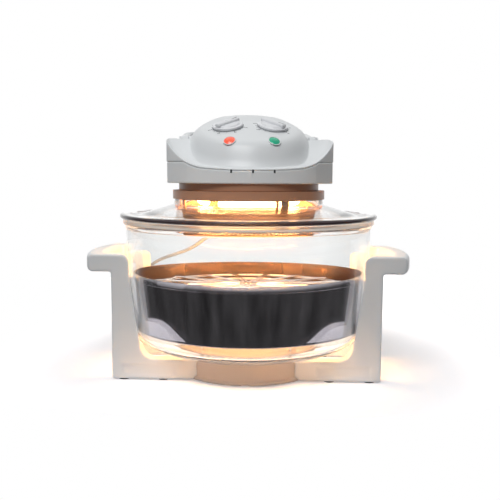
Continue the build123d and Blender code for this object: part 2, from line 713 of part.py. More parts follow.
def halogen_lamp():
    start, turn = lamp_end(1), 360 - (lamp_end(1) - lamp_end(-1))
    section = Plane((LAMP_RING_R, 0, LAMP_Z), x_dir=(1, 0, 0), z_dir=(0, 1, 0)) * Circle(LAMP_R)
    lamp = Rot(0, 0, start) * revolve(section, Axis.Z, turn)
    stubs = []
    for side in (-1, 1):
        x, y, _ = on_circle(LAMP_RING_R, lamp_end(side) + side * 2)
        stubs.append(Pos(x, y) * disc(LAMP_R * 0.8, LAMP_Z, PLATE_Z0 - HOLDER_H))
    return lamp + stubs


def lamp_holders():
    holders = []
    for side in (-1, 1):
        x, y, _ = on_circle(LAMP_RING_R, lamp_end(side) + side * 2)
        holders.append(Pos(x, y) * disc(LAMP_R * 1.1, PLATE_Z0 - HOLDER_H, PLATE_Z0))
    return Compound(children=holders)


def guard_posts():
    radius = GUARD_R - 2.6
    spots = [on_circle(radius, POST_AT + i * 360 / GUARD_POSTS) for i in range(GUARD_POSTS)]
    return Compound(children=[Pos(x, y) * disc(POST_R, GUARD_Z1, PLATE_Z0) for x, y, _ in spots])


def lamp_guard():
    """Pressed rim and tapered side with a spoked wire bottom."""
    rim_z = GUARD_Z1 - SHEET
    side = turned_poly(
        (GUARD_LOW_R - SHEET, GUARD_Z0),
        (GUARD_LOW_R, GUARD_Z0),
        (GUARD_R - 3, rim_z),
        (GUARD_R, rim_z),
        (GUARD_R, GUARD_Z1),
        (GUARD_R - 5, GUARD_Z1),
        (GUARD_R - 5, rim_z),
    )
    rings = [GUARD_LOW_R - GUARD_MESH * i for i in (1, 2, 3)]
    wires = [hoop(r, GUARD_WIRE_R, GUARD_Z0 + 1.4) for r in rings]
    for i in range(10):
        inner = on_circle(rings[-1] - 4, i * 36, GUARD_Z0 + 2.6)
        wires.append(rod(inner, on_circle(GUARD_LOW_R, i * 36, GUARD_Z0 + 2.6), GUARD_WIRE_R))
    return side + wires


def lid_clips():
    """Three hooks that clamp the glass neck to the collar."""
    clips = []
    glass_r, catch_z = LID_NECK_R - LID_T, LID_NECK_Z0 - LID_T - 2.2
    for i in range(3):
        clip = block(glass_r - 1.6, glass_r - 0.3, -5, 5, catch_z - SHEET, PLATE_Z1)
        clip += block(glass_r - 1.6, glass_r + 2.4, -5, 5, catch_z - SHEET, catch_z)
        clips.append(Rot(0, 0, POST_AT + 35 + 120 * i) * clip)
    return Compound(children=clips)


def paddle_fan(radius, blades, z0, z1, disc_z0):
    """Hub, straight blades and a thin backing disc."""
    fan = [disc(FAN_HUB_R, z0 - 1, z1), disc(radius, disc_z0, disc_z0 + 1)]
    blade = block(FAN_HUB_R - 1, radius - 1, -BLADE_T / 2, BLADE_T / 2, z0, z1)
    fan += [Rot(0, 0, 360 / blades * i) * blade for i in range(blades)]
    return (Part() + fan) - disc(AXLE_R, z0 - 5, z1 + 5)


save_on_head("heat_reflector", heat_reflector())
save_on_head("halogen_lamp", halogen_lamp())
save_on_head("lamp_holders", lamp_holders())
save_on_head("guard_posts", guard_posts())
save_on_head("lamp_guard", lamp_guard())
save_on_head("lid_clips", lid_clips())
fan_top = PLATE_Z0 - 1.5
save_on_head("circulation_fan", paddle_fan(FAN_R, 8, fan_top - FAN_H, fan_top, fan_top - 1))
save_on_head("cooling_fan", paddle_fan(COOL_R, 9, FLOOR_Z + 2.5, BRIDGE_Z - 2, FLOOR_Z + 2.5))


# ---------- motor ----------
def motor():
    can = disc(MOTOR_R, MOTOR_Z0, MOTOR_Z1) + disc(MOTOR_R * 0.3, MOTOR_Z1, MOTOR_Z1 + 3)
    return can - disc(AXLE_R + RUN_FIT, 0, MOTOR_Z1 + 10)


def motor_bracket():
    half = BRIDGE_W / 2
    top = block(-BRIDGE_X, BRIDGE_X, -half, half, BRIDGE_Z, MOTOR_Z0)
    leg = block(BRIDGE_X - BRIDGE_T, BRIDGE_X, -half, half, FLOOR_Z, MOTOR_Z0)
    foot = block(BRIDGE_X - BRIDGE_T, BRIDGE_SCREW_X + 5, -half, half, FLOOR_Z, FLOOR_Z + BRIDGE_T)
    foot -= Pos(BRIDGE_SCREW_X, 0) * disc(SCREW_R, 0, FLOOR_Z + 4)
    return (top + [both_sides(leg), both_sides(foot)]) - disc(MOTOR_R * 0.4, 0, MOTOR_Z1)


save_on_head("motor", motor())
save_on_head("motor_bracket", motor_bracket())
save_on_head("motor_shaft", disc(AXLE_R, PLATE_Z0 - 12, MOTOR_Z1 + 5))


# ---------- controls ----------
BUSH_BED = 1.2          # the mechanism's box hangs this far under the skin


def mechanism(side):
    box = Pos(0, 0, -SKIN - BUSH_BED - TIMER_DEEP / 2) * Box(TIMER_BOX, TIMER_BOX, TIMER_DEEP)
    bush = disc(BUSH_R, -SKIN - BUSH_BED, 0) + disc(BUSH_R + 2, -SKIN - BUSH_BED, -SKIN - 0.15)
    return dome_place(side * KNOB_X, KNOB_S) * ((box + bush) - disc(SHAFT_R + RUN_FIT, -40, 5))


def knob(side):
    skirt = disc(KNOB_R, 0.6, 3.4)
    grip = disc(KNOB_R - 1.5, 3, KNOB_H) & Box(GRIP_W, 3 * KNOB_R, 4 * KNOB_H)
    body = (skirt + disc(KNOB_R * 0.72, 3, 4.6) + grip) - disc(SHAFT_R, 0, KNOB_H - 2)
    return dome_place(side * KNOB_X, KNOB_S) * Rot(0, 0, side * GRIP_TURN) * body


def shaft(side):
    return dome_place(side * KNOB_X, KNOB_S) * disc(SHAFT_R, -SKIN - BUSH_BED - TIMER_DEEP + 2, KNOB_H - 2)


def lens(side):
    body = disc(LENS_R, -SKIN - 1.5, 0.4)
    crown = Pos(0, 0, 0.4 - LENS_R * 1.6) * Sphere(LENS_R * 1.887) & disc(LENS_R, 0.4, LENS_R)
    return dome_place(side * LENS_X, 0, LENS_RISE) * (body + crown)


for side, name in ((-1, "timer"), (1, "thermostat")):
    save_on_head(f"{name}_mechanism", mechanism(side))
    save_on_head(f"{name}_knob", knob(side))
    save_on_head(f"{name}_shaft", shaft(side))
save_on_head("red_lens", lens(-1))
save_on_head("green_lens", lens(1))


# ---------- carry handle and safety switch ----------
def carry_handle():
    """Folding bail with two hubs; the right hub is a cam that presses the switch plunger."""
    ends = (BAIL_X, PIVOT_Y, PIVOT_Z), (BAIL_X, BAIL_BACK_Y, BAIL_BACK_Z)
    far = [(-x, y, z) for x, y, z in reversed(ends)]
    path = FilletPolyline(*ends, *far, radius=HANDLE_BEND)
    bail = sweep(Plane(ends[0], z_dir=path % 0) * Circle(BAIL_R), path=path)
    throw = radians(CAM_START)
    cam = (PIVOT_Y + CAM_OFF * cos(throw), PIVOT_Z + CAM_OFF * sin(throw))
    hubs, bores = [], []
    for side in (-1, 1):
        x0, x1 = sorted((side * (BAIL_X - HUB_T / 2), side * (BAIL_X + HUB_T / 2)))
        hubs += [across(HUB_R, x0, x1, *cam)]
        bores += [across(PIN_R + RUN_FIT, side * (BAIL_X - 12), side * (BAIL_X + 12), *PIVOT)]
    trim = [across(HUB_R, side * (BAIL_X + HUB_T / 2), side * (BAIL_X + 20), *PIVOT) for side in (-1, 1)]
    trim += [across(HUB_R, side * (BAIL_X - HUB_T / 2), side * (BAIL_X - 12), *PIVOT) for side in (-1, 1)]
    return (bail + hubs) - bores - trim


def handle_pins():
    pins = []
    for side in (-1, 1):
        out = BAIL_X + HUB_T / 2 + 0.4
        pin = across(PIN_R, side * (DOME_R - 9), side * (out + 1), *PIVOT)
        pins.append(pin + across(PIN_R + 2.5, side * out, side * (out + 2.5), *PIVOT))
    return Compound(children=pins)


def micro_switch():
    body = block(BAIL_X - 6, BAIL_X + 6, PLUNGER_Y - 11, PLUNGER_Y + 11, SWITCH_Z0, SWITCH_Z1)
    return body - Pos(BAIL_X, PLUNGER_Y) * disc(PLUNGER_R + RUN_FIT, SWITCH_Z0 + 5, SWITCH_Z1 + 1)


def switch_plunger():
    tip = Pos(BAIL_X, PLUNGER_Y, PLUNGER_TOP - PLUNGER_R) * Sphere(PLUNGER_R)
    return tip + Pos(BAIL_X, PLUNGER_Y) * disc(PLUNGER_R, SWITCH_Z0 + 6, PLUNGER_TOP - PLUNGER_R)


save_on_head("carry_handle", carry_handle())
save_on_head("handle_pins", handle_pins())
save_on_head("micro_switch", micro_switch())
save_on_head("switch_plunger", switch_plunger())


# ---------- small parts in the head ----------
def screws(spots, z0, z1, head_z):
    screw = disc(SCREW_R, z0, z1) + disc(SCREW_HEAD_R, head_z, head_z + 1.2)
    return Compound(children=[Pos(x, y) * screw for x, y in spots])


def terminal_block():
    body = block(-16, 16, HEAD_Y - 34, HEAD_Y - 22, FLOOR_Z, FLOOR_Z + 10)
    return body - [Pos(x, 0, FLOOR_Z + 5) * rod((0, 0, 0), (0, 2 * HEAD_Y, 0), 2) for x in (-9, 0, 9)]


def cord_gland():
    flange = along_y(GLAND_R + 2, HEAD_Y - SKIN - 3, HEAD_Y - SKIN - 0.4)
    out = HEAD_Y + GLAND_OUT
    taper = Plane((0, HEAD_Y, GLAND_Z), z_dir=(0, 1, 0)) * Cone(
        GLAND_R, CORD_R + 0.8, GLAND_OUT, align=(Align.CENTER, Align.CENTER, Align.MIN)
    )
    return flange + along_y(GLAND_R, HEAD_Y - SKIN - 1, HEAD_Y) + (taper - along_y(GLAND_R, out, out + 5))


save_on_head("head_screws", screws(SCREW_SPOTS, HEAD_Z0, FLOOR_Z + 12, HEAD_Z0))
bracket_spots = [(-BRIDGE_SCREW_X, 0), (BRIDGE_SCREW_X, 0)]
save_on_head("bracket_screws", screws(bracket_spots, HEAD_Z0, FLOOR_Z + 3.2, FLOOR_Z + BRIDGE_T))
save_on_head("terminal_block", terminal_block())
save_on_head("cord_gland", cord_gland())


# ---------- power cord ----------
def corner_radii(points):
    """Largest comfortable radius at each inner corner of a route."""
    radii = []
    for a, b, c in zip(points, points[1:], points[2:]):
        before, after = Vector(*b) - Vector(*a), Vector(*c) - Vector(*b)
        turn = radians(before.get_angle(after))
        radii.append(0.45 * min(before.length, after.length) / tan(turn / 2))
    return radii


def cord_tube(points, radii):
    path = FilletPolyline(*points, radius=radii)
    cord = sweep(Plane(points[0], z_dir=path % 0) * Circle(CORD_R), path=path)
    expected = pi * CORD_R ** 2 * path.length
    print("cord length", round(path.length), "volume", round(cord.volume), "expected", round(expected))
    return cord


def power_cord():
    """Two tubes that meet behind the lid: the upper one hangs from the head, the lower one lies on the worktop."""
    outlet = Vector(0, HEAD_Y + GLAND_OUT, GLAND_Z).rotate(Axis.Z, HEAD_TURN)
    straight = Vector(0, HEAD_Y + GLAND_OUT + CORD_STRAIGHT, GLAND_Z).rotate(Axis.Z, HEAD_TURN)
    hangs = [tuple(outlet), tuple(straight)] + CORD_HANGS
    radii = corner_radii(hangs + CORD_LIES)
    print("cord corner radii", [round(r) for r in radii])
    parting = tuple((Vector(*hangs[-1]) + Vector(*CORD_LIES[0])) / 2)
    corners = len(hangs) - 1
    return cord_tube(hangs + [parting], radii[:corners]), cord_tube([parting] + CORD_LIES, radii[corners:])


def cord_coil():
    return Pos(COIL_X, COIL_Y) * tube(COIL_R - 3 * CORD_R, COIL_R + CORD_R, 0, 2 * CORD_R * COIL_LAYERS)


def mains_plug():
    """Two-pin plug, lying where the coil's last turn leaves it along X."""
    y, back = COIL_Y - COIL_R, COIL_X + sqrt((COIL_R + CORD_R) ** 2 - COIL_R ** 2)
    x0 = back + BOOT_L
    boot = Plane((back, y, PLUG_H / 2), z_dir=(1, 0, 0)) * Cone(
        CORD_R + 1, CORD_R + 3, BOOT_L + 1, align=(Align.CENTER, Align.CENTER, Align.MIN)
    )
    body = block(x0, x0 + PLUG_L, y - PLUG_W / 2, y + PLUG_W / 2, 0, PLUG_H)
    body = fillet(body.edges().filter_by(Axis.X), 4)
    face = x0 + PLUG_L
    pins = [
        rod((face - 2, y + dy, PLUG_H / 2), (face + PLUG_PIN_L, y + dy, PLUG_H / 2), PLUG_PIN_R)
        for dy in (-6.5, 6.5)
    ]
    return (body + boot) + pins


for name, piece in zip(("power_cord_top", "power_cord"), power_cord()):
    save(name, piece)
save("cord_coil", cord_coil())
save("mains_plug", mains_plug())
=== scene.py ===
# %% [markdown]
# # A worktop halogen oven
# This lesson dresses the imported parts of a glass-bowl oven: it gives each its finish, and builds
# afresh the pieces whose look depends on fine shape, such as blown glass, mirror steel and a soft cord.
# Everything is in metres, with the front towards -Y and the worktop at Z = 0.

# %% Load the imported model
import json
import math

import bmesh
import bpy
from mathutils import Matrix, Quaternion, Vector

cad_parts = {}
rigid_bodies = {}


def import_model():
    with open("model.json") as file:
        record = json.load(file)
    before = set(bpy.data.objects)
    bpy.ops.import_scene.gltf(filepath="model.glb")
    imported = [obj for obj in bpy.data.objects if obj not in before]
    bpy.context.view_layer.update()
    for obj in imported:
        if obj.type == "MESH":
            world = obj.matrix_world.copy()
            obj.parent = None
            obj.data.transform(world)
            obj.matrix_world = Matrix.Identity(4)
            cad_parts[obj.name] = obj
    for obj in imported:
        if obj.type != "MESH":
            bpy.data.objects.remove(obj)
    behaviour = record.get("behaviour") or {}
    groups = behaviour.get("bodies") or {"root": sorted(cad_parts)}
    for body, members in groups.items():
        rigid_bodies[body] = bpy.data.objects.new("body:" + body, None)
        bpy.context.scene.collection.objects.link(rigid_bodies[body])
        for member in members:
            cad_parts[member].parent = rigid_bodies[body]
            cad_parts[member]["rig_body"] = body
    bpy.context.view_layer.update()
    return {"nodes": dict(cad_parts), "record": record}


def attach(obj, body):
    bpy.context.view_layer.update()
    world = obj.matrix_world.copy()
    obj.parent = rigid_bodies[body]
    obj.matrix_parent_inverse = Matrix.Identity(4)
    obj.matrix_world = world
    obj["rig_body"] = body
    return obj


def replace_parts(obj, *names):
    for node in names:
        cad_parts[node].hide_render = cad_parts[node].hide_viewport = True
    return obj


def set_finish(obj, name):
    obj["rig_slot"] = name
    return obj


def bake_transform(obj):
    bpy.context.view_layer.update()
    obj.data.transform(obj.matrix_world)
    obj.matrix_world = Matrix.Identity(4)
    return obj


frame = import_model()
nodes = frame["nodes"]
MM = 0.001

# %% [markdown]
# ## Camera
# The oven is seen from the front, a little from above and a hand's width to the right. A lens of about
# 50 mm at less than a metre keeps the round rims as open as they look on a kitchen table.

# %% Camera
EYE = Vector((0.032, -0.930, 0.262))
LOOK = Vector((-0.0318, 0.9935, -0.109)).normalized()
ROLL = math.radians(0.37)
camera_data = bpy.data.cameras.new("camera")
camera_data.lens = 50.28
camera = bpy.data.objects.new("camera", camera_data)
camera.location = EYE
camera.rotation_mode = "QUATERNION"
camera.rotation_quaternion = LOOK.to_track_quat("-Z", "Y") @ Quaternion((0, 0, 1), ROLL)
bpy.context.scene.collection.objects.link(camera)
bpy.context.scene.camera = camera
print("camera looks down by", round(math.degrees(math.asin(-LOOK.z)), 1), "degrees")

# %% [markdown]
# ## Power cord
# The lead is 7 mm PVC flex. It leaves the strain relief at the back of the head, falls behind the bowl
# and left-hand frame to the worktop, and what is left over is wound in a neat coil with the plug beside it.
# It could be swept along straight runs, but flex has no straight runs, so it is one smooth NURBS line.

# %% Route of the cord
CORD_D = 0.007
CORD_ROUTE = [
    (-10.2, 116.6, 262),
    (-12.3, 140.5, 262),
    (-21, 172, 247),
    (-48, 193, 208),
    (-97, 200, 160),
    (-128, 212, 147),
    (-162, 230, 134),
    (-195, 250, 108),
    (-213, 267, 68),
    (-214, 276, 29),
    (-203, 279.5, 9.5),
    (-180, 281, 3.5),
    (-141, 284, 3.5),
    (-98, 280, 3.5),
    (-62, 283, 3.5),
    (-42, 282.6, 3.5),
]
COIL_X, COIL_Y = -30, 320
COIL_R, COIL_INNER_R = 38, 31
LOW_TURN, HIGH_TURN = 3.5, 10.5
TURN_POINTS, TURNS = 15, 3


def ramp(value, low, high, start, end):
    """start below low, end above high and a smooth change between them."""
    t = min(1, max(0, (value - low) / (high - low)))
    return start + (end - start) * t * t * (3 - 2 * t)


def coil_point(turn):
    """A point of the coil after that many turns: out, in beside itself, up, and out again on top."""
    if turn < 1.5:
        radius = ramp(turn, 0.72, 0.98, COIL_R, COIL_INNER_R)
    else:
        radius = ramp(turn, 2.02, 2.34, COIL_INNER_R, COIL_R)
    height = ramp(turn, 1.2, 1.5, LOW_TURN, HIGH_TURN)
    angle = math.radians(360 * turn - 90)
    reach = radius / 0.978          # a spline of this order passes inside its points
    return (COIL_X + reach * math.cos(angle), COIL_Y + reach * math.sin(angle), height)


coil_points = [coil_point(i / TURN_POINTS) for i in range(TURNS * TURN_POINTS)]
tail = [(-31, 281.2, 10.4), (-22, 281.8, 9.3), (-12, 282, 8.5)]
print("cord points", len(CORD_ROUTE) + len(coil_points) + len(tail))


# %% Cord as one smooth line, then as a tube
def spline_line(name, points, scale=MM):
    """An open NURBS curve through the neighbourhood of the points."""
    data = bpy.data.curves.new(name, "CURVE")
    data.dimensions = "3D"
    data.resolution_u = 8
    spline = data.splines.new("NURBS")
    spline.points.add(len(points) - 1)
    for place, point in zip(spline.points, points):
        place.co = (*(Vector(point) * scale), 1)
    spline.order_u = 3
    spline.use_endpoint_u = True
    return data


def add_object(name, data):
    piece = bpy.data.objects.new(name, data)
    bpy.context.scene.collection.objects.link(piece)
    return piece


def mesh_of(data, name):
    """The mesh that a curve turns into, as an object of its own."""
    source = add_object(name + "_line", data)
    mesh = bpy.data.meshes.new_from_object(source)
    bpy.data.objects.remove(source)
    return mesh


flex_line = spline_line("flex", CORD_ROUTE + coil_points + tail)
flex_path = [v.co.copy() for v in mesh_of(flex_line, "flex").vertices]
flex_length = sum((b - a).length for a, b in zip(flex_path, flex_path[1:]))
flex_line.bevel_depth = CORD_D / 2
flex_line.bevel_resolution = 5
flex_line.use_fill_caps = True
flex = add_object("power_flex", mesh_of(flex_line, "power_flex"))
print("cord length", round(flex_length, 3), "m, points on its line", len(flex_path))

# %% [markdown]
# ## Helpers for shapes
# Most pieces of this oven are either turned, such as glass, steel ring and guard, or moulded. A turned
# piece is a closed half section swept round the axis; it needs many steps because glass and mirror steel
# show every flat. Moulded pieces get soft edges, which catch the light as a real moulding does.


# %% Turned pieces
def mesh_object(name, vertices, faces, smooth_angle=35):
    mesh = bpy.data.meshes.new(name)
    mesh.from_pydata([tuple(v) for v in vertices], [], faces)
    mesh.validate()
    form = bmesh.new()
    form.from_mesh(mesh)
    bmesh.ops.recalc_face_normals(form, faces=form.faces)
    form.to_mesh(mesh)
    form.free()
    mesh.shade_smooth()
    mesh.set_sharp_from_angle(angle=math.radians(smooth_angle))
    return add_object(name, mesh)


def turned(name, section, steps=256, smooth_angle=35):
    """A closed section of (radius, height) in mm, swept round the axis."""
    vertices, faces = [], []
    count = len(section)
    for i in range(steps):
        angle = math.tau * i / steps
        for radius, height in section:
            r = max(radius, 0.0001) * MM
            vertices.append((r * math.cos(angle), r * math.sin(angle), height * MM))
    for i in range(steps):
        a, b = i * count, ((i + 1) % steps) * count
        for j in range(count):
            k = (j + 1) % count
            faces.append((a + j, b + j, b + k, a + k))
    piece = mesh_object(name, vertices, faces, smooth_angle)
    form = bmesh.new()
    form.from_mesh(piece.data)
    bmesh.ops.remove_doubles(form, verts=form.verts, dist=0.000002)
    bmesh.ops.recalc_face_normals(form, faces=form.faces)
    form.to_mesh(piece.data)
    form.free()
    return piece


def arc(centre, radius, start, end, steps=8):
    """Points of (radius, height) on an arc about centre, from one angle to another in degrees."""
    points = []
    for i in range(steps + 1):
        angle = math.radians(start + (end - start) * i / steps)
        points.append((centre[0] + radius * math.cos(angle), centre[1] + radius * math.sin(angle)))
    return points


def polar(radius, angle, height=0.0):
    """A point in metres at that radius and height in mm and that angle in degrees."""
    a = math.radians(angle)
    return Vector((radius * MM * math.cos(a), radius * MM * math.sin(a), height * MM))


print("helpers ready")

# %% [markdown]
# ## Glass bowl and lid
# The bowl is pressed glass, nearly 4 mm thick, with a flat bottom, a rounded corner and a thick rim.
# A bowl could be one surface with no thickness, but then it neither bends light nor shows the dark lines
# at its edges, so each piece of glass is a closed wall with both faces.

# %% Bowl
BOWL_T = 3.7
BOWL_MID_R, BOWL_LOW_R, BOWL_FLAT_R, HEEL_R = 160.7, 152.2, 85.0, 20.0
BOWL_FLOOR, BOWL_LOW_Z, BOWL_MID_Z, BOWL_NECK_Z = 29.0, 62.0, 126.0, 190.0
RIM_R, RIM_Z0, RIM_Z1 = 165.0, 196.5, 203.7


def corner_curve(inset):
    """From the flat bottom up to the wall: a shallow belly, then a tight heel, tangent all the way."""
    heel_x, rise = BOWL_LOW_R - HEEL_R, BOWL_LOW_Z - BOWL_FLOOR
    out = heel_x - BOWL_FLAT_R
    belly = (out ** 2 + rise ** 2 - HEEL_R ** 2) / (2 * (rise - HEEL_R))
    meet = math.degrees(math.atan2(rise - belly, out))
    shallow = arc((BOWL_FLAT_R, BOWL_FLOOR + belly), belly - inset, -90, meet, 14)
    return shallow + arc((heel_x, BOWL_LOW_Z), HEEL_R - inset, meet, 0, 10)[1:]


outer = corner_curve(0) + [(BOWL_MID_R, BOWL_MID_Z), (BOWL_MID_R, BOWL_NECK_Z)]
lip = arc((RIM_R - 2, RIM_Z0 + 2), 2, -60, 0, 3) + arc((RIM_R - 2, RIM_Z1 - 2), 2, 0, 90, 4)
mouth = arc((BOWL_MID_R - BOWL_T + 1.2, RIM_Z1 - 1.2), 1.2, 90, 180, 3)
inner = [(BOWL_MID_R - BOWL_T, BOWL_MID_Z)] + corner_curve(BOWL_T)[::-1]
floor_in, floor_out = (0, BOWL_FLOOR + BOWL_T), (0, BOWL_FLOOR)
bowl = turned("bowl_glass", [floor_out] + outer + lip + mouth + inner + [floor_in])
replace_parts(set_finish(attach(bowl, "stand"), "clear_glass"), "glass_bowl")
print("bowl faces", len(bowl.data.polygons))

# %% Lid
LID_R, LID_T, LID_TOP = 168.6, 4.6, 209.5
UNDER = RIM_Z1 + 0.3
NECK_R, NECK_Z0, NECK_Z1 = 98.5, 222.0, 229.0
RIB_R = 154.5


def smooth_run(points, steps=6):
    """Points between the given ones on a curve that passes through all of them."""
    run = []
    ends = [points[0]] + points + [points[-1]]
    for a, b, c, d in zip(ends, ends[1:], ends[2:], ends[3:]):
        for i in range(steps):
            t = i / steps
            run.append(tuple(
                0.5 * (2 * q + (r - p) * t + (2 * p - 5 * q + 4 * r - s) * t * t
                       + (3 * q - p - 3 * r + s) * t ** 3)
                for p, q, r, s in zip(a, b, c, d)
            ))
    return run + [points[-1]]


slope = smooth_run([(NECK_R, NECK_Z0), (126.5, 213.5), (146, 208), (RIB_R, LID_TOP - 1)])
edge = arc((LID_R - 2.75, (LID_TOP + UNDER) / 2), 2.75, 90, -90, 10)
rib = [(RIB_R, UNDER)] + arc((RIB_R - 1.5, UNDER - 3.5), 1.5, 0, -90, 3)
rib += arc((RIB_R - LID_T + 1.5, UNDER - 3.5), 1.5, -90, -180, 3) + [(RIB_R - LID_T, UNDER)]
below = smooth_run([(RIB_R - LID_T - 0.5, UNDER), (145, 208 - LID_T), (124.5, 213.5 - LID_T),
                    (NECK_R - LID_T, NECK_Z0 - LID_T * 0.9)])
top = [(RIB_R + 3, LID_TOP)]
neck = [(NECK_R - LID_T, NECK_Z1 - 1), (NECK_R - LID_T + 1, NECK_Z1), (NECK_R - 1, NECK_Z1)]
lid = turned("lid_glass", neck + slope + top + edge + rib + below)
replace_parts(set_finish(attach(lid, "head"), "clear_glass"), "glass_lid")
print("lid faces", len(lid.data.polygons))

# %% [markdown]
# ## Extension ring
# The ring is polished stainless sheet with a stepped collar at the top and a rolled bead at the bottom.
# It mirrors the room, so its section has small arcs at each fold: a mirror with knife edges looks false.

# %% Steel ring
SHEET = 1.2
EXT_R, EXT_TOP, EXT_FOLD = 154.0, 135.0, 127.0
BEAD_R = 1.8
BEAD_X, BEAD_Z = 146.7, 63.8
bead = arc((BEAD_X, BEAD_Z), BEAD_R, 140, 380, 18)
outside = [(BEAD_X + BEAD_R + 0.15, BEAD_Z + 1.8), (150.9, 96.0), (EXT_R - 0.6, EXT_FOLD - 0.4)]
outside += arc((EXT_R - 0.8, EXT_FOLD + 0.8), 0.8, -80, 10, 4)
outside += arc((EXT_R - 2.3, EXT_TOP - 1.2), 1.2, 10, 90, 5)
inside = arc((EXT_R - 2.9, EXT_TOP - 0.6), 0.6, 90, 240, 4)
inside += [(EXT_R - 1.9, EXT_FOLD), (149.6, 96.0), (BEAD_X + BEAD_R - SHEET, BEAD_Z + 2.0)]
ring = turned("steel_ring", bead + outside + inside, 320)
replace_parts(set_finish(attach(ring, "stand"), "polished_steel"), "extension_ring")
print("ring faces", len(ring.data.polygons))

# %% [markdown]
# ## Lamp guard
# Under the lamp hangs a basket of perforated sheet with a wire bottom. A bump map of holes would look
# solid against the bright lamp, so the holes are real: a net of quads on a cone is turned into struts.

# %% Struts, wires and joining
def applied(piece):
    """The piece with its modifiers made part of its mesh."""
    bpy.context.view_layer.update()
    graph = bpy.context.evaluated_depsgraph_get()
    mesh = bpy.data.meshes.new_from_object(piece.evaluated_get(graph))
    piece.modifiers.clear()
    piece.data = mesh
    return piece


def strut_net(name, rings, around, thickness, twist=0.5):
    """Struts along the edges of a slanted net; rings are (radius, height) pairs in mm."""
    vertices = [
        polar(radius, (j + twist * i) * 360 / around, height)
        for i, (radius, height) in enumerate(rings)
        for j in range(around)
    ]
    faces = []
    for i in range(len(rings) - 1):
        for j in range(around):
            k = (j + 1) % around
            faces.append((i * around + j, i * around + k, (i + 1) * around + k, (i + 1) * around + j))
    piece = mesh_object(name, vertices, faces)
    struts = piece.modifiers.new("struts", "WIREFRAME")
    struts.thickness = thickness * MM
    struts.use_boundary = True
    return applied(piece)


def round_wire(name, lines, radius, closed):
    """Round wires along lines of points in metres."""
    data = bpy.data.curves.new(name, "CURVE")
    data.dimensions = "3D"
    data.bevel_depth = radius * MM
    data.bevel_resolution = 3
    data.use_fill_caps = True
    for line in lines:
        spline = data.splines.new("POLY")
        spline.points.add(len(line) - 1)
        for place, point in zip(spline.points, line):
            place.co = (*point, 1)
        spline.use_cyclic_u = closed
    mesh = mesh_of(data, name)
    mesh.shade_smooth()
    return add_object(name, mesh)


def hoop_line(radius, height, steps=144):
    return [polar(radius, 360 * i / steps, height) for i in range(steps)]


def joined(name, pieces):
    """One object from several, which are used up."""
    form = bmesh.new()
    for piece in pieces:
        form.from_mesh(piece.data)
        bpy.data.objects.remove(piece)
    mesh = bpy.data.meshes.new(name)
    form.to_mesh(mesh)
    form.free()
    mesh.shade_smooth()
    mesh.set_sharp_from_angle(angle=math.radians(35))
    return add_object(name, mesh)


print("net, wire and joining helpers ready")

# %% Guard
GUARD_R, GUARD_LOW_R = 91.0, 84.0
GUARD_Z0, GUARD_Z1 = 199.5, 215.2
NET_ROWS, HOLES_ROUND, STRUT = 5, 96, 2.3
WIRE_R, HOOPS, SPOKES = 1.1, (18, 40, 62), 10

side_rings = []
for i in range(NET_ROWS + 1):
    out = (GUARD_R - 3.4 - GUARD_LOW_R) * i / NET_ROWS
    up = (GUARD_Z1 - GUARD_Z0 - 2.4) * i / NET_ROWS
    side_rings.append((GUARD_LOW_R + out, GUARD_Z0 + 1 + up))
net = strut_net("guard_net", side_rings, HOLES_ROUND, STRUT)
rim = turned("guard_rim", [(GUARD_R - 5, GUARD_Z1), (GUARD_R - 5, GUARD_Z1 - 1.2),
                           (GUARD_R, GUARD_Z1 - 1.2), (GUARD_R, GUARD_Z1)], 144)
foot = turned("guard_foot", arc((GUARD_LOW_R, GUARD_Z0 + 1), 1.0, 0, 330, 11), 144)
hoops = round_wire("guard_hoops", [hoop_line(r, GUARD_Z0 + 1.4) for r in HOOPS], WIRE_R, True)
spokes = [[polar(r, 360 / SPOKES * i, GUARD_Z0 + 2.6) for r in (14, GUARD_LOW_R)] for i in range(SPOKES)]
spokes = round_wire("guard_spokes", spokes, WIRE_R, False)
guard = joined("guard_basket", [net, rim, foot, hoops, spokes])
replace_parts(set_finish(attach(guard, "head"), "guard_steel"), "lamp_guard")
print("guard faces", len(guard.data.polygons))

# %% [markdown]
# ## Moulded covers and stand
# The stand and the head are satin ABS mouldings. Their edges have a small radius from the tool. The
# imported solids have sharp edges, so a copy of each is rebuilt from small cubes and smoothed, which
# rounds every edge alike, also where curved faces meet, and where a bevel modifier would tear.

# %% Soft-edged mouldings
HEAD_TURN = Matrix.Rotation(math.radians(5), 4, "Z")     # the head stands a little turned on the lid
CORNER_X = 80.0                                          # beyond this lie the top cover's wings


def softened(node, name, voxel, rounds, added=(), highest=None):
    """A copy of a packed moulding with rounded edges; voxel and highest are in mm.
    The solids in added unite with it, and beyond CORNER_X nothing rises above highest."""
    piece = joined(name, [add_object(name, nodes[node].data.copy()), *added])
    piece.data.materials.clear()
    if highest is not None:
        for vertex in piece.data.vertices:
            if abs((HEAD_TURN.inverted() @ vertex.co).x) > CORNER_X * MM:
                vertex.co.z = min(vertex.co.z, highest * MM)
    rebuild = piece.modifiers.new("rebuild", "REMESH")
    rebuild.mode = "VOXEL"
    rebuild.voxel_size = voxel * MM
    soften = piece.modifiers.new("soften", "SMOOTH")
    soften.iterations = rounds
    soften.factor = 0.5
    applied(piece)
    piece.data.shade_smooth()
    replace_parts(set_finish(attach(piece, nodes[node]["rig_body"]), "white_plastic"), node)
    print(name, "faces", len(piece.data.polygons))
    return piece


softened("left_side_frame", "left_frame", 1.3, 6)
softened("right_side_frame", "right_frame", 1.3, 6)
softened("base_dish", "stand_dish", 1.0, 3)
softened("head_base", "head_tub", 0.9, 3)
softened("carry_handle", "bail", 0.8, 4)

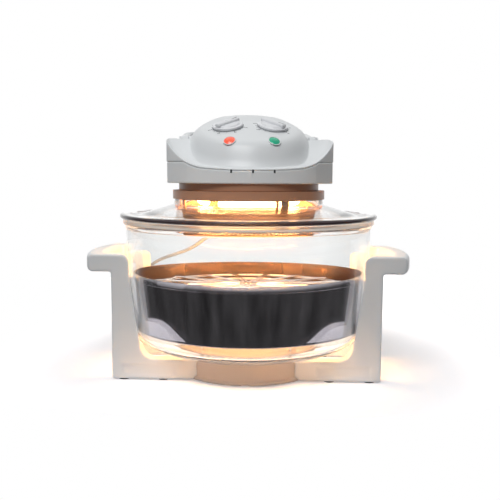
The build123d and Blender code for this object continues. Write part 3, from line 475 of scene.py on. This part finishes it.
# %% [markdown]
# ## Wings of the top cover
# The top cover's wings are hollowed towards the dome and end in a level top in front of the carry
# handle's pivots. They could be sculpted by hand, but a height field over the cover's plan says the same
# in a few lines: it leaves the saddle's front edge and curves up to the level top. It is joined to the
# cover before that is rebuilt from cubes, so no seam shows.

# %% Lines of the cover
SADDLE_Z, SADDLE_SLOPE = 267.3, math.tan(math.radians(9.6))
CURL_X, CURL_WIDE, CURL_HIGH = 58, 50.5, 39
HEAD_Y, FRONT_R = 95.0, 125
CORNER_Y, TIP_X, TIP_Y = 66.0, 106.0, 38.0


def saddle_height(x, y):
    """The saddle slopes up to the back, and curls up at its sides as an ellipse does."""
    rise = 0
    if abs(x) > CURL_X:
        rise = CURL_HIGH * (1 - math.sqrt(1 - ((abs(x) - CURL_X) / CURL_WIDE) ** 2))
    return SADDLE_Z + (y + HEAD_Y) * SADDLE_SLOPE + rise


def front_edge(x):
    """A wide arc between the corners, and straight lines from them to the tips."""
    if abs(x) < CORNER_X:
        return FRONT_R - HEAD_Y - math.sqrt(FRONT_R ** 2 - x * x)
    return -CORNER_Y + (abs(x) - CORNER_X) / (TIP_X - CORNER_X) * (CORNER_Y - TIP_Y)


def head_mesh(name, points, faces):
    """A mesh from points in mm, turned with the head."""
    return mesh_object(name, [HEAD_TURN @ (Vector(point) * MM) for point in points], faces)


print("front edge at the middle", front_edge(0), "and at a tip", front_edge(TIP_X))

# %% Wings
WING_TOP, WING_BACK, WING_IN = 306.8, -8.8, 50
END_IN, END_WIDE, END_LONG, END_TAPER = 93.5, 12.1, 48, 20


def height_block(name, columns, rows, place, top):
    """A closed block under top(x, y) and on the saddle, over a grid of places in the head's plan."""
    grid = [[place(i / columns, j / rows) for j in range(rows + 1)] for i in range(columns + 1)]
    upper = [(x, y, top(x, y)) for line in grid for x, y in line]
    lower = [(x, y, saddle_height(x, y) - 1.2) for line in grid for x, y in line]
    n, wide = len(upper), rows + 1
    faces = []
    for i in range(columns):
        for j in range(rows):
            a, b, c, d = i * wide + j, i * wide + j + 1, (i + 1) * wide + j + 1, (i + 1) * wide + j
            faces += [(a, d, c, b), (a + n, b + n, c + n, d + n)]
    edge = [i * wide for i in range(columns + 1)] + [columns * wide + j for j in range(1, wide)]
    edge += [i * wide + rows for i in range(columns - 1, -1, -1)] + list(range(rows - 1, 0, -1))
    for a, b in zip(edge, edge[1:] + edge[:1]):
        faces.append((a, a + n, b + n, b))
    return head_mesh(name, upper + lower, faces)


def wing_top(x, y):
    """From the saddle's skin near the dome to the full wing at the corner."""
    start = front_edge(x)
    along = min(1, max(0, (y - start) / (WING_BACK - start)))
    low = saddle_height(x, y) - 0.05
    full = saddle_height(x, start) + (WING_TOP - saddle_height(x, start)) * along ** 1.6
    return low + ramp(abs(x), WING_IN, CORNER_X, 0, 1) * max(0, full - low)


def wing_place(side):
    def place(u, v):
        x = side * (WING_IN + u * (TIP_X - 0.4 - WING_IN))
        start = front_edge(x) + 0.3
        return x, start + v * (WING_BACK - start)
    return place


def end_place(side):
    def place(u, v):
        return side * (END_IN + u * END_WIDE), WING_BACK - 0.5 + v * (END_LONG - END_TAPER * u)
    return place


wings = []
for side, word in ((-1, "left"), (1, "right")):
    wings.append(height_block(word + "_wing", 28, 28, wing_place(side), wing_top))
    wings.append(height_block(word + "_wing_end", 6, 12, end_place(side), lambda x, y: WING_TOP))
print("wing pieces", [piece.name for piece in wings])

# %% [markdown]
# ## Dome of the top cover
# The dome leans forward, flares out at its foot, most of all in front, and is fullest over its back half.
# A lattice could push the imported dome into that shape, but it would drag the saddle along. Two closed
# shells are simpler: a ring round the foot and a cap under the skin, joined in with the wings.

# %% Foot of the dome
DOME_Y, DOME_Z, LEAN = -8.0, 301.5, math.radians(17.0)
DOME_R, DOME_EDGE_R, DOME_CAP_R = 76.0, 20.0, 260.0


def on_dome_frame(x, s, h):
    """A place beside the dome, s towards its back and h above its level, as x, y, z of the head."""
    return (x, DOME_Y + s * math.cos(LEAN) - h * math.sin(LEAN),
            DOME_Z + s * math.sin(LEAN) + h * math.cos(LEAN))


def dome_flare(steps=120, levels=14, top=13.0):
    """A closed ring round the dome's foot that widens downwards, most of all at the front."""
    reach = DOME_R + 2
    points = []
    for i in range(steps):
        angle = math.tau * i / steps
        across, along = math.cos(angle), math.sin(angle)
        x, y = on_dome_frame(reach * across, reach * along, 0)[:2]
        foot = (saddle_height(x, y) - 2 - DOME_Z - reach * along * math.sin(LEAN)) / math.cos(LEAN)
        outer, inner = [], []
        for j in range(levels + 1):
            h = foot + (top - foot) * j / levels
            own = DOME_R - DOME_EDGE_R + math.sqrt(DOME_EDGE_R ** 2 - max(0, h) ** 2)
            wide = (0.25 + 0.75 * max(0, -along) ** 1.5) * 0.025 * (top - h) ** 2
            outer.append(on_dome_frame((own + wide) * across, (own + wide) * along, h))
            inner.append(on_dome_frame((own - 1.6) * across, (own - 1.6) * along, h))
        points += outer + inner[::-1]
    wide = 2 * (levels + 1)
    faces = []
    for i in range(steps):
        a, b = i * wide, (i + 1) % steps * wide
        faces += [(a + j, b + j, b + (j + 1) % wide, a + (j + 1) % wide) for j in range(wide)]
    return head_mesh("dome_flare", points, faces)


flare = dome_flare()
print("flare faces", len(flare.data.polygons))

# %% Crown, and the cover in one piece
CAP_DROP = math.sqrt((DOME_CAP_R - DOME_EDGE_R) ** 2 - (DOME_R - DOME_EDGE_R) ** 2)


def crown(turns=96, rings=36, rise=4.2):
    """A closed cap just under the dome's skin that swells out over its back half."""
    upper, lower = [], []
    for i in range(rings + 1):
        r = 0.5 + (DOME_R - 1.5) * i / rings
        edge = r - (DOME_R - DOME_EDGE_R)
        if edge > 4.4:
            h = math.sqrt(DOME_EDGE_R ** 2 - edge ** 2)
        else:
            h = math.sqrt(DOME_CAP_R ** 2 - r ** 2) - CAP_DROP
        for j in range(turns):
            angle = math.tau * j / turns
            x, back = r * math.cos(angle), r * math.sin(angle)
            swell = min(1, max(0, (back - 6) / 34)) * min(1, max(0, (DOME_R - 2 - r) / 22))
            upper.append(on_dome_frame(x, back, h - 0.1 + rise * ramp(swell, 0, 1, 0, 1)))
            lower.append(on_dome_frame(x, back, h - 1.3))
    n, last = len(upper), rings * turns
    faces = []
    for j in range(turns):
        k = (j + 1) % turns
        for ring_start in range(0, last, turns):
            a, b = ring_start + j, ring_start + k
            faces += [(a + turns, b + turns, b, a), (a + n, b + n, b + turns + n, a + turns + n)]
        faces += [(j, k, k + n, j + n), (last + k, last + j, last + j + n, last + k + n)]
    return head_mesh("crown", upper + lower, faces)


softened("head_cover", "head_top", 0.9, 4, wings + [flare, crown()], WING_TOP)
print("wing top at", WING_TOP, "mm")

# %% [markdown]
# ## Dials
# Two dials sit on the dome: a timer on the left, a thermostat on the right. Each has a skirt with a
# pointer and a grip bar, and stands on its own slanted patch of the dome. They are built lying flat
# at the origin and then carried to the dome, which is simpler than modelling on a slope.

# %% Places on the dome
KNOB_X, KNOB_S = 28.5, -14.0
LENS_X, LENS_RISE, LENS_R = 27.5, 64.0, 6.8


def on_dome(x, s, rise=None):
    """Matrix that carries a piece from the origin to the dome's skin, facing out."""
    if rise is None:
        up = math.sqrt(DOME_CAP_R ** 2 - x ** 2 - s ** 2)
        normal = Vector((x, s, up)) / DOME_CAP_R
        point = Vector((x, s, up - CAP_DROP))
    else:
        a = math.radians(rise)
        out = DOME_R - DOME_EDGE_R + DOME_EDGE_R * math.cos(a)
        s = -math.sqrt(out ** 2 - x ** 2)
        normal = Vector((x / out * math.cos(a), s / out * math.cos(a), math.sin(a)))
        point = Vector((x, s, DOME_EDGE_R * math.sin(a)))
    tilt = Matrix.Rotation(LEAN, 3, "X")
    point = (tilt @ point + Vector((0, DOME_Y, DOME_Z))) * MM
    z_axis = tilt @ normal
    x_axis = (Vector((1, 0, 0)) - z_axis * z_axis.x).normalized()
    y_axis = z_axis.cross(x_axis)
    turn = Matrix((x_axis, y_axis, z_axis)).transposed().to_4x4()
    return HEAD_TURN @ Matrix.Translation(point) @ turn


def set_down(piece, place):
    """Puts a piece's place into its mesh, so that its object stays at the origin."""
    piece.data.transform(place)
    return piece


print("left dial at", [round(v, 4) for v in on_dome(-KNOB_X, KNOB_S).translation])

# %% Dial knobs
def rounded_bar(name, half_x, half_y, z0, z1, corner):
    """A bar with rounded edges, in mm."""
    form = bmesh.new()
    bmesh.ops.create_cube(form, size=2)
    for v in form.verts:
        v.co = Vector((v.co.x * half_x, v.co.y * half_y, z0 + (z1 - z0) * (v.co.z + 1) / 2)) * MM
    bmesh.ops.bevel(form, geom=form.edges[:], offset=corner * MM, segments=4, profile=0.5, affect="EDGES")
    mesh = bpy.data.meshes.new(name)
    form.to_mesh(mesh)
    form.free()
    mesh.shade_smooth()
    mesh.set_sharp_from_angle(angle=math.radians(50))
    return add_object(name, mesh)


KNOB_R, KNOB_H, GRIP_TURN = 19.5, 8.4, 50.0


def dial_place(side):
    """Where a dial stands, its grip turned as it is at rest."""
    return on_dome(side * KNOB_X, KNOB_S) @ Matrix.Rotation(math.radians(side * GRIP_TURN), 4, "Z")


for side, dial in ((-1, "timer"), (1, "thermostat")):
    skirt_section = [(3.2, 0.7), (KNOB_R - 0.3, 0.7)] + arc((KNOB_R - 0.7, 2.3), 0.7, 0, 80, 4)
    skirt_section += [(KNOB_R - 3.4, 3.3), (KNOB_R - 4.2, 4.4), (KNOB_R - 5.2, 4.9), (3.2, 5.0)]
    skirt = turned(dial + "_skirt", skirt_section, 96)
    bar = rounded_bar(dial + "_bar", 4.4, KNOB_R - 1.6, 3.0, KNOB_H, 2.2)
    knob = set_down(joined(dial + "_dial", [skirt, bar]), dial_place(side))
    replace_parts(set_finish(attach(knob, dial), "knob_plastic"), dial + "_knob")
    pointer = rounded_bar(dial + "_pointer", 0.55, 4.2, KNOB_H - 0.25, KNOB_H + 0.12, 0.15)
    set_down(pointer, dial_place(side) @ Matrix.Translation((0, -side * 12.0 * MM, 0)))
    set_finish(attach(pointer, dial), "black_plastic")
    trim = turned(dial + "_trim", arc((KNOB_R + 0.1, 0.5), 0.55, 0, 330, 11), 96)
    set_down(trim, on_dome(side * KNOB_X, KNOB_S))
    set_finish(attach(trim, "head"), "motor_steel")

# %% [markdown]
# ## Scales and lights
# The scales are printed on the dome, and each light has a thin bezel. Ink could be a mask in the
# material, which needs a UV map; as geometry a fifth of a millimetre thick it stays sharp from close by,
# and it is bent to the dome's fall so that it lies on the skin all round.

# %% Printed scales
def dial_marks(name, place, values, start, end, text_every):
    """Raised ink: short ticks round a dial, and plain numbers beside some of them."""
    parts = []
    for i, value in enumerate(values):
        angle = math.radians(start + (end - start) * i / (len(values) - 1))
        direction = Vector((math.sin(angle), math.cos(angle), 0))
        long = i % text_every == 0
        tick = rounded_bar(name + "_tick", 0.28, 1.1 if long else 0.7, 0.02, 0.16, 0.06)
        turn = Matrix.Rotation(-angle, 4, "Z")
        reach = KNOB_R + (2.2 if long else 1.8)
        parts.append(set_down(tick, Matrix.Translation(direction * reach * MM) @ turn))
        if long:
            text = bpy.data.curves.new(name + "_text", "FONT")
            text.body = str(value)
            text.size = 3.0 * MM
            text.extrude = 0.06 * MM
            text.align_x = "CENTER"
            text.align_y = "CENTER"
            number = add_object(name + "_number", mesh_of(text, name + "_number"))
            spot = direction * (KNOB_R + 5.2) * MM + Vector((0, 0, 0.1 * MM))
            parts.append(set_down(number, Matrix.Translation(spot)))
    marks = joined(name, parts)
    for v in marks.data.vertices:       # the dome falls away from its plane
        v.co.z -= (v.co.x ** 2 + v.co.y ** 2) / (2 * DOME_CAP_R * MM)
    set_down(marks, place)
    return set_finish(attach(marks, "head"), "black_plastic")


minutes = list(range(0, 65, 5))
degrees_c = list(range(65, 275, 15))
dial_marks("timer_scale", on_dome(-KNOB_X, KNOB_S), minutes, 50, -250, 2)
dial_marks("thermostat_scale", on_dome(KNOB_X, KNOB_S), degrees_c, 130, -150, 3)
print("scale values", minutes, degrees_c)

# %% Light bezels
for side, name in ((-1, "red"), (1, "green")):
    bezel = turned(name + "_bezel", arc((LENS_R + 0.7, 0.2), 0.75, 0, 330, 11), 64)
    set_down(bezel, on_dome(side * LENS_X, 0, LENS_RISE))
    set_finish(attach(bezel, "head"), "white_plastic")
print("lights stand out", LENS_RISE, "degrees up the dome's round edge")

# %% [markdown]
# ## Small fittings
# Three little catches show where the head's lower tub clips into its top, and the cord's coil has a
# tie. Dark marks in a material would do for the catches from afar; small bars also catch the light. The
# tie is a loop of round wire drawn out sideways, which makes a strap of it.

# %% Catches
for i, x in enumerate((-26, 0, 26)):
    catch = rounded_bar(f"seam_catch_{i}", 1.1, 0.5, -2.0, 2.0, 0.3)
    set_down(catch, HEAD_TURN @ Matrix.Translation(Vector((x, front_edge(x), SADDLE_Z - 2.8)) * MM))
    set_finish(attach(catch, "head"), "black_plastic")
print("catches on the seam", i + 1)

# %% Coil tie
TIE_X, TIE_Y, TIE_Z = COIL_X + 34.5, COIL_Y + 12, 7.2
TIE_HALF_X, TIE_HALF_Z, TIE_WIDER, TIE_STEPS = 8.6, 8.2, 3.2, 40
tie_line = []
for i in range(TIE_STEPS):
    a = math.tau * i / TIE_STEPS
    height = max(TIE_Z + TIE_HALF_Z * math.sin(a), 0.6)
    tie_line.append(Vector((TIE_X + TIE_HALF_X * math.cos(a), TIE_Y, height)) * MM)
tie = round_wire("coil_tie", [tie_line], 0.9, True)
for v in tie.data.vertices:
    v.co.y = TIE_Y * MM + (v.co.y - TIE_Y * MM) * TIE_WIDER
    v.co.z = max(v.co.z, 0.0002)
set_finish(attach(tie, "stand"), "black_plastic")
print("tie at", [round(v, 3) for v in tie.data.vertices[0].co])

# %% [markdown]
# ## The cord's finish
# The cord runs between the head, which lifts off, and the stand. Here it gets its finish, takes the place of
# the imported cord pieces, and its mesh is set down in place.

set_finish(flex, "cord_jacket")
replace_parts(flex, "power_cord_top", "power_cord", "cord_coil")
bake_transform(flex)

# %% [markdown]
# ## Finishes
# Every finish is a small node tree on one Principled shader: its plain values sit on the sockets, and
# noise in the object's own space drives roughness and a fine bump, so it needs no UV map or image.


# %% A finish with grain
def finish(name, colour, roughness, metallic=0.0, grain=900.0, spread=0.06, bump=0.02, depth=0.05,
           tint=0.03, stretch=(1, 1, 1), **sockets):
    """A Principled finish: grain per metre, spread of roughness, depth of the bump in mm, tint variation."""
    material = bpy.data.materials.new(name)
    material.use_nodes = True
    tree = material.node_tree
    shader = tree.nodes["Principled BSDF"]
    shader.inputs["Metallic"].default_value = metallic
    for socket, value in sockets.items():
        shader.inputs[socket.replace("_", " ")].default_value = value
    place = tree.nodes.new("ShaderNodeTexCoord")
    scale = tree.nodes.new("ShaderNodeMapping")
    scale.inputs["Scale"].default_value = stretch
    tree.links.new(place.outputs["Object"], scale.inputs["Vector"])
    fine = tree.nodes.new("ShaderNodeTexNoise")
    fine.inputs["Scale"].default_value = grain
    fine.inputs["Detail"].default_value = 3
    broad = tree.nodes.new("ShaderNodeTexNoise")
    broad.inputs["Scale"].default_value = grain / 40
    for noise in (fine, broad):
        tree.links.new(scale.outputs["Vector"], noise.inputs["Vector"])
    rough = tree.nodes.new("ShaderNodeMapRange")
    rough.inputs["To Min"].default_value = max(0.0, roughness - spread)
    rough.inputs["To Max"].default_value = min(1.0, roughness + spread)
    tree.links.new(broad.outputs["Fac"], rough.inputs["Value"])
    tree.links.new(rough.outputs["Result"], shader.inputs["Roughness"])
    relief = tree.nodes.new("ShaderNodeBump")
    relief.inputs["Strength"].default_value = bump
    relief.inputs["Distance"].default_value = depth * MM
    tree.links.new(fine.outputs["Fac"], relief.inputs["Height"])
    tree.links.new(relief.outputs["Normal"], shader.inputs["Normal"])
    mix = tree.nodes.new("ShaderNodeMix")
    mix.data_type = "RGBA"
    mix.inputs["A"].default_value = (*[c * (1 - tint) for c in colour], 1)
    mix.inputs["B"].default_value = (*[min(1, c * (1 + tint)) for c in colour], 1)
    tree.links.new(broad.outputs["Fac"], mix.inputs["Factor"])
    tree.links.new(mix.outputs["Result"], shader.inputs["Base Color"])
    return material


def lets_lamps_through(material, share):
    """Glass that lamps shine through: for shadow rays the shader gives way to a clear one."""
    tree = material.node_tree
    out = tree.nodes["Material Output"]
    shader = tree.nodes["Principled BSDF"]
    clear = tree.nodes.new("ShaderNodeBsdfTransparent")
    clear.inputs["Color"].default_value = (share, share, share, 1)
    rays = tree.nodes.new("ShaderNodeLightPath")
    mix = tree.nodes.new("ShaderNodeMixShader")
    tree.links.new(rays.outputs["Is Shadow Ray"], mix.inputs[0])
    tree.links.new(shader.outputs[0], mix.inputs[1])
    tree.links.new(clear.outputs[0], mix.inputs[2])
    tree.links.new(mix.outputs[0], out.inputs["Surface"])
    return material


print("finish helper ready")

# %% [markdown]
# ## The finishes of this oven
# The mouldings are a cool white and the glass is clear. The ring is mirror steel whose darkened, lilac colour
# is painted dark reflection, and the guard under the lamp has a dark brown-orange colour that is painted lamp
# glow and painted shade. The lamp itself glows, and its light does the rest, together with painted glow on a
# few pieces near it.

# %% Finish for each slot
finishes = {
    "white_plastic": finish("white_abs", (0.74, 0.76, 0.77), 0.36, grain=1500, spread=0.05, bump=0.12,
                            depth=0.03, tint=0.015),
    "black_rubber": finish("black_rubber_pads", (0.03, 0.03, 0.03), 0.75, grain=2500, bump=0.3),
    "zinc_steel": finish("zinc_plate", (0.62, 0.62, 0.60), 0.32, 1.0, grain=1200, bump=0.1),
    "clear_glass": lets_lamps_through(
        finish("pressed_glass", (0.985, 0.992, 0.99), 0.015, grain=300, spread=0.015, bump=0.03, depth=0.02,
               tint=0.004, Transmission_Weight=1.0, IOR=1.47), 0.94),
    # Painted dark reflection: the base colour is darkened and given a lilac cast, standing in for the dark
    # room and shaded frames that the ring mirrors.
    "polished_steel": finish("mirror_steel", (0.47, 0.445, 0.48), 0.06, 1.0, grain=700, spread=0.03,
                             bump=0.02, depth=0.02, stretch=(1, 1, 0.06)),
    "rack_wire": finish("plated_wire", (0.80, 0.78, 0.76), 0.14, 1.0, grain=1500, bump=0.05),
    "bright_aluminium": finish("spun_aluminium", (0.84, 0.84, 0.85), 0.22, 1.0, grain=900, bump=0.05),
    "quartz_tube": finish("lit_quartz", (1.0, 0.86, 0.62), 0.2, grain=600,
                          Emission_Color=(1.0, 0.55, 0.20, 1), Emission_Strength=95.0),
    "ceramic": finish("glazed_ceramic", (0.86, 0.83, 0.76), 0.25, grain=800, bump=0.05),
    # Painted glow and shade: the guard's dark brown-orange colour stands in for the lamp's orange light and
    # the shade on its outer side.
    "guard_steel": finish("heat_tinted_steel", (0.31, 0.17, 0.09), 0.5, 0.6, grain=900, spread=0.1,
                          bump=0.08, tint=0.15),
    "motor_steel": finish("motor_case", (0.35, 0.36, 0.38), 0.45, 0.8, grain=1200),
    "black_plastic": finish("black_moulding", (0.035, 0.036, 0.04), 0.5, grain=1800, bump=0.1),
    "knob_plastic": finish("dial_white", (0.76, 0.77, 0.79), 0.30, grain=1500, bump=0.08, tint=0.015),
    "red_lens": finish("red_light", (0.83, 0.10, 0.05), 0.12, grain=600,
                       Emission_Color=(1.0, 0.10, 0.03, 1), Emission_Strength=0.35),
    "green_lens": finish("green_light", (0.0, 0.36, 0.20), 0.12, grain=600,
                         Emission_Color=(0.0, 0.5, 0.25, 1), Emission_Strength=0.12),
    "cord_jacket": finish("grey_flex", (0.62, 0.61, 0.60), 0.5, grain=2200, bump=0.15),
}
print("finishes", len(finishes))

# %% Finishes laid on
slot_of = {part["node"]: part["material_slot"] for part in frame["record"]["subparts"]}
for name, node in nodes.items():
    node.data.materials.clear()
    node.data.materials.append(finishes[slot_of[name]])
for piece in bpy.data.objects:
    if piece.type == "MESH" and piece.name not in nodes:
        piece.data.materials.clear()
        piece.data.materials.append(finishes[piece["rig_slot"]])
print("nodes dressed", len(slot_of))

# %% [markdown]
# ## Pieces with two finishes
# Near the lamp the neck and collar get a brown colour, which is painted shade under the head's overhang and
# painted warm glow of the lamp; the steel inside the ring gets satin roughness and a warm brown colour, which
# is painted lamp glow.
# The cut edge of the lid is painted near-black, a painted dark reflection, and the bowl's thick rim gets a
# pale warm tone, which is painted lamp glow.
# These could be pieces of their own, but they are one body of glass or steel, so single faces get the
# second finish by where they lie and which way they look.


# %% Second finishes
HEAD_Z0 = 249.5


def second_finish(piece, material, belongs):
    """Gives the faces for which belongs(radius, height, outward) holds a finish of their own.
    Radius and height are in mm; outward is positive on a face that looks away from the axis."""
    piece.data.materials.append(material)
    number = len(piece.data.materials) - 1
    count = 0
    for face in piece.data.polygons:
        x, y, z = face.center / MM
        if belongs(math.hypot(x, y), z, face.normal.x * x + face.normal.y * y):
            face.material_index = number
            count += 1
    print(piece.name, "faces in", material.name, count)


# Painted shade and glow: the white plastic of the neck and collar gets a brown colour that stands in for the
# shade under the head's overhang and the lamp's warm light on it.
painted_shade_glow_resin = finish("heat_proof_resin", (0.42, 0.215, 0.13), 0.38, grain=1300, bump=0.1, tint=0.04)
# Painted dark reflection: the lid's cut edge is a near-black glass that stands in for the dark room seen in
# the clear edge.
painted_dark_edge = lets_lamps_through(
    finish("ground_glass_edge", (0.05, 0.03, 0.035), 0.14, grain=700, spread=0.05, bump=0.1,
           Transmission_Weight=0.05, IOR=1.47), 0.3)
# Painted glow: the bowl's thick rim is a pale warm glass that stands in for the lamp's light caught in it.
painted_glow_rim = lets_lamps_through(
    finish("bowl_rim_glass", (0.66, 0.58, 0.50), 0.16, grain=700, spread=0.05, bump=0.1,
           Transmission_Weight=0.55, IOR=1.47), 0.6)
# Painted glow: the ring's inner faces get a warm brown colour that stands in for the lamp's light on them;
# their satin roughness is their own.
painted_glow_steel = finish("satin_steel", (0.44, 0.27, 0.17), 0.27, 1.0, grain=160, spread=0.16, bump=0.1,
                      stretch=(1, 1, 0.06))
# Painted shade and glow: the white moulding made darker and warmer, with a faint orange emission, standing in
# for the shade under the bowl and the lamp's glow through it.
painted_glow_white = finish("warm_white_abs", (0.47, 0.44, 0.415), 0.36, grain=1500, bump=0.12, depth=0.03,
                    Emission_Color=(1.0, 0.42, 0.18, 1), Emission_Strength=0.03)
# Painted shade and glow on the lid's collar and, below, on the head tub's neck.
nodes["lid_collar"].data.materials[0] = painted_shade_glow_resin
# The guard's posts and the lid's clips get the same painted glow and shade.
for name in ("guard_posts", "lid_clips"):
    nodes[name].data.materials[0] = finishes["guard_steel"]
second_finish(bpy.data.objects["head_tub"], painted_shade_glow_resin, lambda radius, height, outward: height < HEAD_Z0 - 0.3)
second_finish(bpy.data.objects["lid_glass"], painted_dark_edge,
              lambda radius, height, outward: radius > LID_R - 1.8 and height < LID_TOP - 0.7)
second_finish(bpy.data.objects["bowl_glass"], painted_glow_rim,
              lambda radius, height, outward: radius > BOWL_MID_R - 1 and height > RIM_Z0 - 0.5)
second_finish(bpy.data.objects["steel_ring"], painted_glow_steel,
              lambda radius, height, outward: height > BEAD_Z + 2.4 and outward < 0)
# Painted shade and glow on the stand's dish.
bpy.data.objects["stand_dish"].data.materials[0] = painted_glow_white
print("materials in all", len(bpy.data.materials))

# %% [markdown]
# ## Studio
# The worktop is a white sheet that ends just in front of the oven, and the room behind the viewer is
# dark: that dark room is what the steel ring mirrors. White behind the oven comes from the world, which
# is plain white for sight and for glass, and dimmer as a light. Turning the lamps up until the sheet is
# white would burn out the mouldings, so the Light Path node tells the two uses apart.


# %% Rays that should see white
def link_all(tree, *pairs):
    for source, target in pairs:
        tree.links.new(source, target)


def math_node(tree, operation, a, b):
    """A Math node on two outputs or plain numbers."""
    node = tree.nodes.new("ShaderNodeMath")
    node.operation = operation
    for socket, value in zip(node.inputs, (a, b)):
        if isinstance(value, (int, float)):
            socket.default_value = value
        else:
            tree.links.new(value, socket)
    return node.outputs[0]


def smooth_range(tree, value, low, high, start, end):
    """A Map Range node that goes smoothly from start to end as the value goes from low to high."""
    node = tree.nodes.new("ShaderNodeMapRange")
    node.interpolation_type = "SMOOTHSTEP"
    for socket, number in zip(("From Min", "From Max", "To Min", "To Max"), (low, high, start, end)):
        node.inputs[socket].default_value = number
    tree.links.new(value, node.inputs["Value"])
    return node.outputs["Result"]


def sees_white(tree):
    """1 for what the eye meets itself or through glass, 0 for light and for what a mirror shows."""
    rays = tree.nodes.new("ShaderNodeLightPath")
    plain_sight = math_node(tree, "LESS_THAN", rays.outputs["Glossy Depth"], 0.5)
    through = math_node(tree, "MULTIPLY", rays.outputs["Is Transmission Ray"], plain_sight)
    return rays, math_node(tree, "MAXIMUM", rays.outputs["Is Camera Ray"], through)


print("studio helpers ready")

# %% Worktop
TABLE_X, TABLE_HALF, TABLE_FRONT, TABLE_BACK = -0.008, 0.366, -0.198, 1.5
FULLER = 0.72       # below 1 the rounded front is fuller than half an ellipse
outline = []
for x, y in arc((0, 0), 1, 180, 360, 64):
    outline.append((TABLE_X + TABLE_HALF * math.copysign(abs(x) ** FULLER, x),
                    TABLE_FRONT * abs(y) ** FULLER, 0))
outline += [(TABLE_X + TABLE_HALF, TABLE_BACK, 0), (TABLE_X - TABLE_HALF, TABLE_BACK, 0)]
worktop = mesh_object("worktop", outline, [tuple(range(len(outline)))])
paper = bpy.data.materials.new("white_worktop")
paper.use_nodes = True
tree = paper.node_tree
matt = tree.nodes.new("ShaderNodeBsdfDiffuse")
matt.inputs["Color"].default_value = (0.84, 0.83, 0.86, 1)
lift = tree.nodes.new("ShaderNodeEmission")
both = tree.nodes.new("ShaderNodeAddShader")
spot = tree.nodes.new("ShaderNodeTexCoord")
distance = tree.nodes.new("ShaderNodeVectorMath")
distance.operation = "LENGTH"
tree.links.new(spot.outputs["Object"], distance.inputs[0])
fade = smooth_range(tree, distance.outputs["Value"], 0.20, 0.52, 0.36, 1.0)
link_all(tree, (math_node(tree, "MULTIPLY", sees_white(tree)[1], fade), lift.inputs["Strength"]),
         (matt.outputs[0], both.inputs[0]), (lift.outputs[0], both.inputs[1]),
         (both.outputs[0], tree.nodes["Material Output"].inputs["Surface"]))
worktop.data.materials.append(paper)
print("worktop corners", len(outline))

# %% [markdown]
# ## World
# An image of a room would light the oven well, but an image can't come along with the part. Here the
# room is worked out from the direction alone: pale at the back and overhead, dark behind the viewer,
# with faint upright streaks, as plain walls and door frames give in polished steel.

# %% World
AMBIENT = 0.14
world = bpy.data.worlds.new("studio")
bpy.context.scene.world = world
world.use_nodes = True
tree = world.node_tree
room = tree.nodes["Background"]
room.inputs["Color"].default_value = (1, 1, 1, 1)
rays, white = sees_white(tree)
where = tree.nodes.new("ShaderNodeTexCoord").outputs["Generated"]
split = tree.nodes.new("ShaderNodeSeparateXYZ")
tree.links.new(where, split.inputs[0])
back_wall = smooth_range(tree, split.outputs["Y"], 0.25, 0.85, 0.05, 1.05)
ceiling = smooth_range(tree, split.outputs["Z"], -0.02, 0.30, 0.0, 0.8)
tall = tree.nodes.new("ShaderNodeMapping")
tall.inputs["Scale"].default_value = (1, 1, 0.15)
streaks = tree.nodes.new("ShaderNodeTexNoise")
streaks.inputs["Scale"].default_value = 7
streaks.inputs["Detail"].default_value = 4
link_all(tree, (where, tall.inputs["Vector"]), (tall.outputs["Vector"], streaks.inputs["Vector"]))
shades = math_node(tree, "MULTIPLY", math_node(tree, "SUBTRACT", streaks.outputs["Fac"], 0.4), 0.16)
shown = math_node(tree, "ADD", shades, math_node(tree, "MAXIMUM", back_wall, ceiling))
dim = tree.nodes.new("ShaderNodeMix")
dim.data_type = "FLOAT"
dim.inputs[2].default_value = AMBIENT
mirrored = math_node(tree, "GREATER_THAN", rays.outputs["Glossy Depth"], 0.5)
link_all(tree, (mirrored, dim.inputs[0]), (shown, dim.inputs[3]),
         (math_node(tree, "MAXIMUM", white, dim.outputs[0]), room.inputs["Strength"]))
print("world: white to the eye, dark behind the viewer in mirrors, light", AMBIENT)

# %% [markdown]
# ## Lamps
# One soft box in front does most of the work; a weak lamp overhead and one on the left open the shadows.
# They stay at a plain level, at which a colour renders about as it is written. The heater's tube glows by
# itself, but so thin a light source is noisy, so a small lamp in the bowl, which no ray can see, stands
# in for what it casts.


# %% Soft boxes
def linked_lamp(name, kind, place, watts, colour):
    data = bpy.data.lights.new(name, kind)
    data.energy = watts
    data.color = colour
    lamp = add_object(name, data)
    lamp.location = place
    return lamp


def soft_box(name, place, aim, size, watts, colour=(1, 1, 1)):
    lamp = linked_lamp(name, "AREA", place, watts, colour)
    lamp.data.shape = "RECTANGLE"
    lamp.data.size, lamp.data.size_y = size
    lamp.rotation_mode = "QUATERNION"
    lamp.rotation_quaternion = (Vector(aim) - Vector(place)).to_track_quat("-Z", "Y")


soft_box("front_box", (-0.25, -1.15, 1.50), (0, 0, 0.25), (0.9, 0.7), 17, (0.98, 0.99, 1.0))
soft_box("overhead", (0, 0.25, 1.5), (0, 0, 0.1), (1.4, 1.2), 3.5)
soft_box("left_box", (-1.3, -0.4, 0.7), (0, 0, 0.15), (0.9, 1.2), 1, (0.97, 0.98, 1.0))

# %% Glow of the heater
glow = linked_lamp("heater_glow", "POINT", (0, 0, 0.186), 4.0, (1.0, 0.52, 0.18))
glow.data.shadow_soft_size = 0.045
glow.visible_camera = glow.visible_glossy = glow.visible_transmission = False
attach(glow, "head")
print("glow", glow.data.energy, "W")

# %% [markdown]
# ## View settings
# The view stays on Standard, so that colours come out as written. Detail may stand a little proud, but the
# part may not grow.

# %% Plain view settings
bpy.context.scene.view_settings.view_transform = "Standard"
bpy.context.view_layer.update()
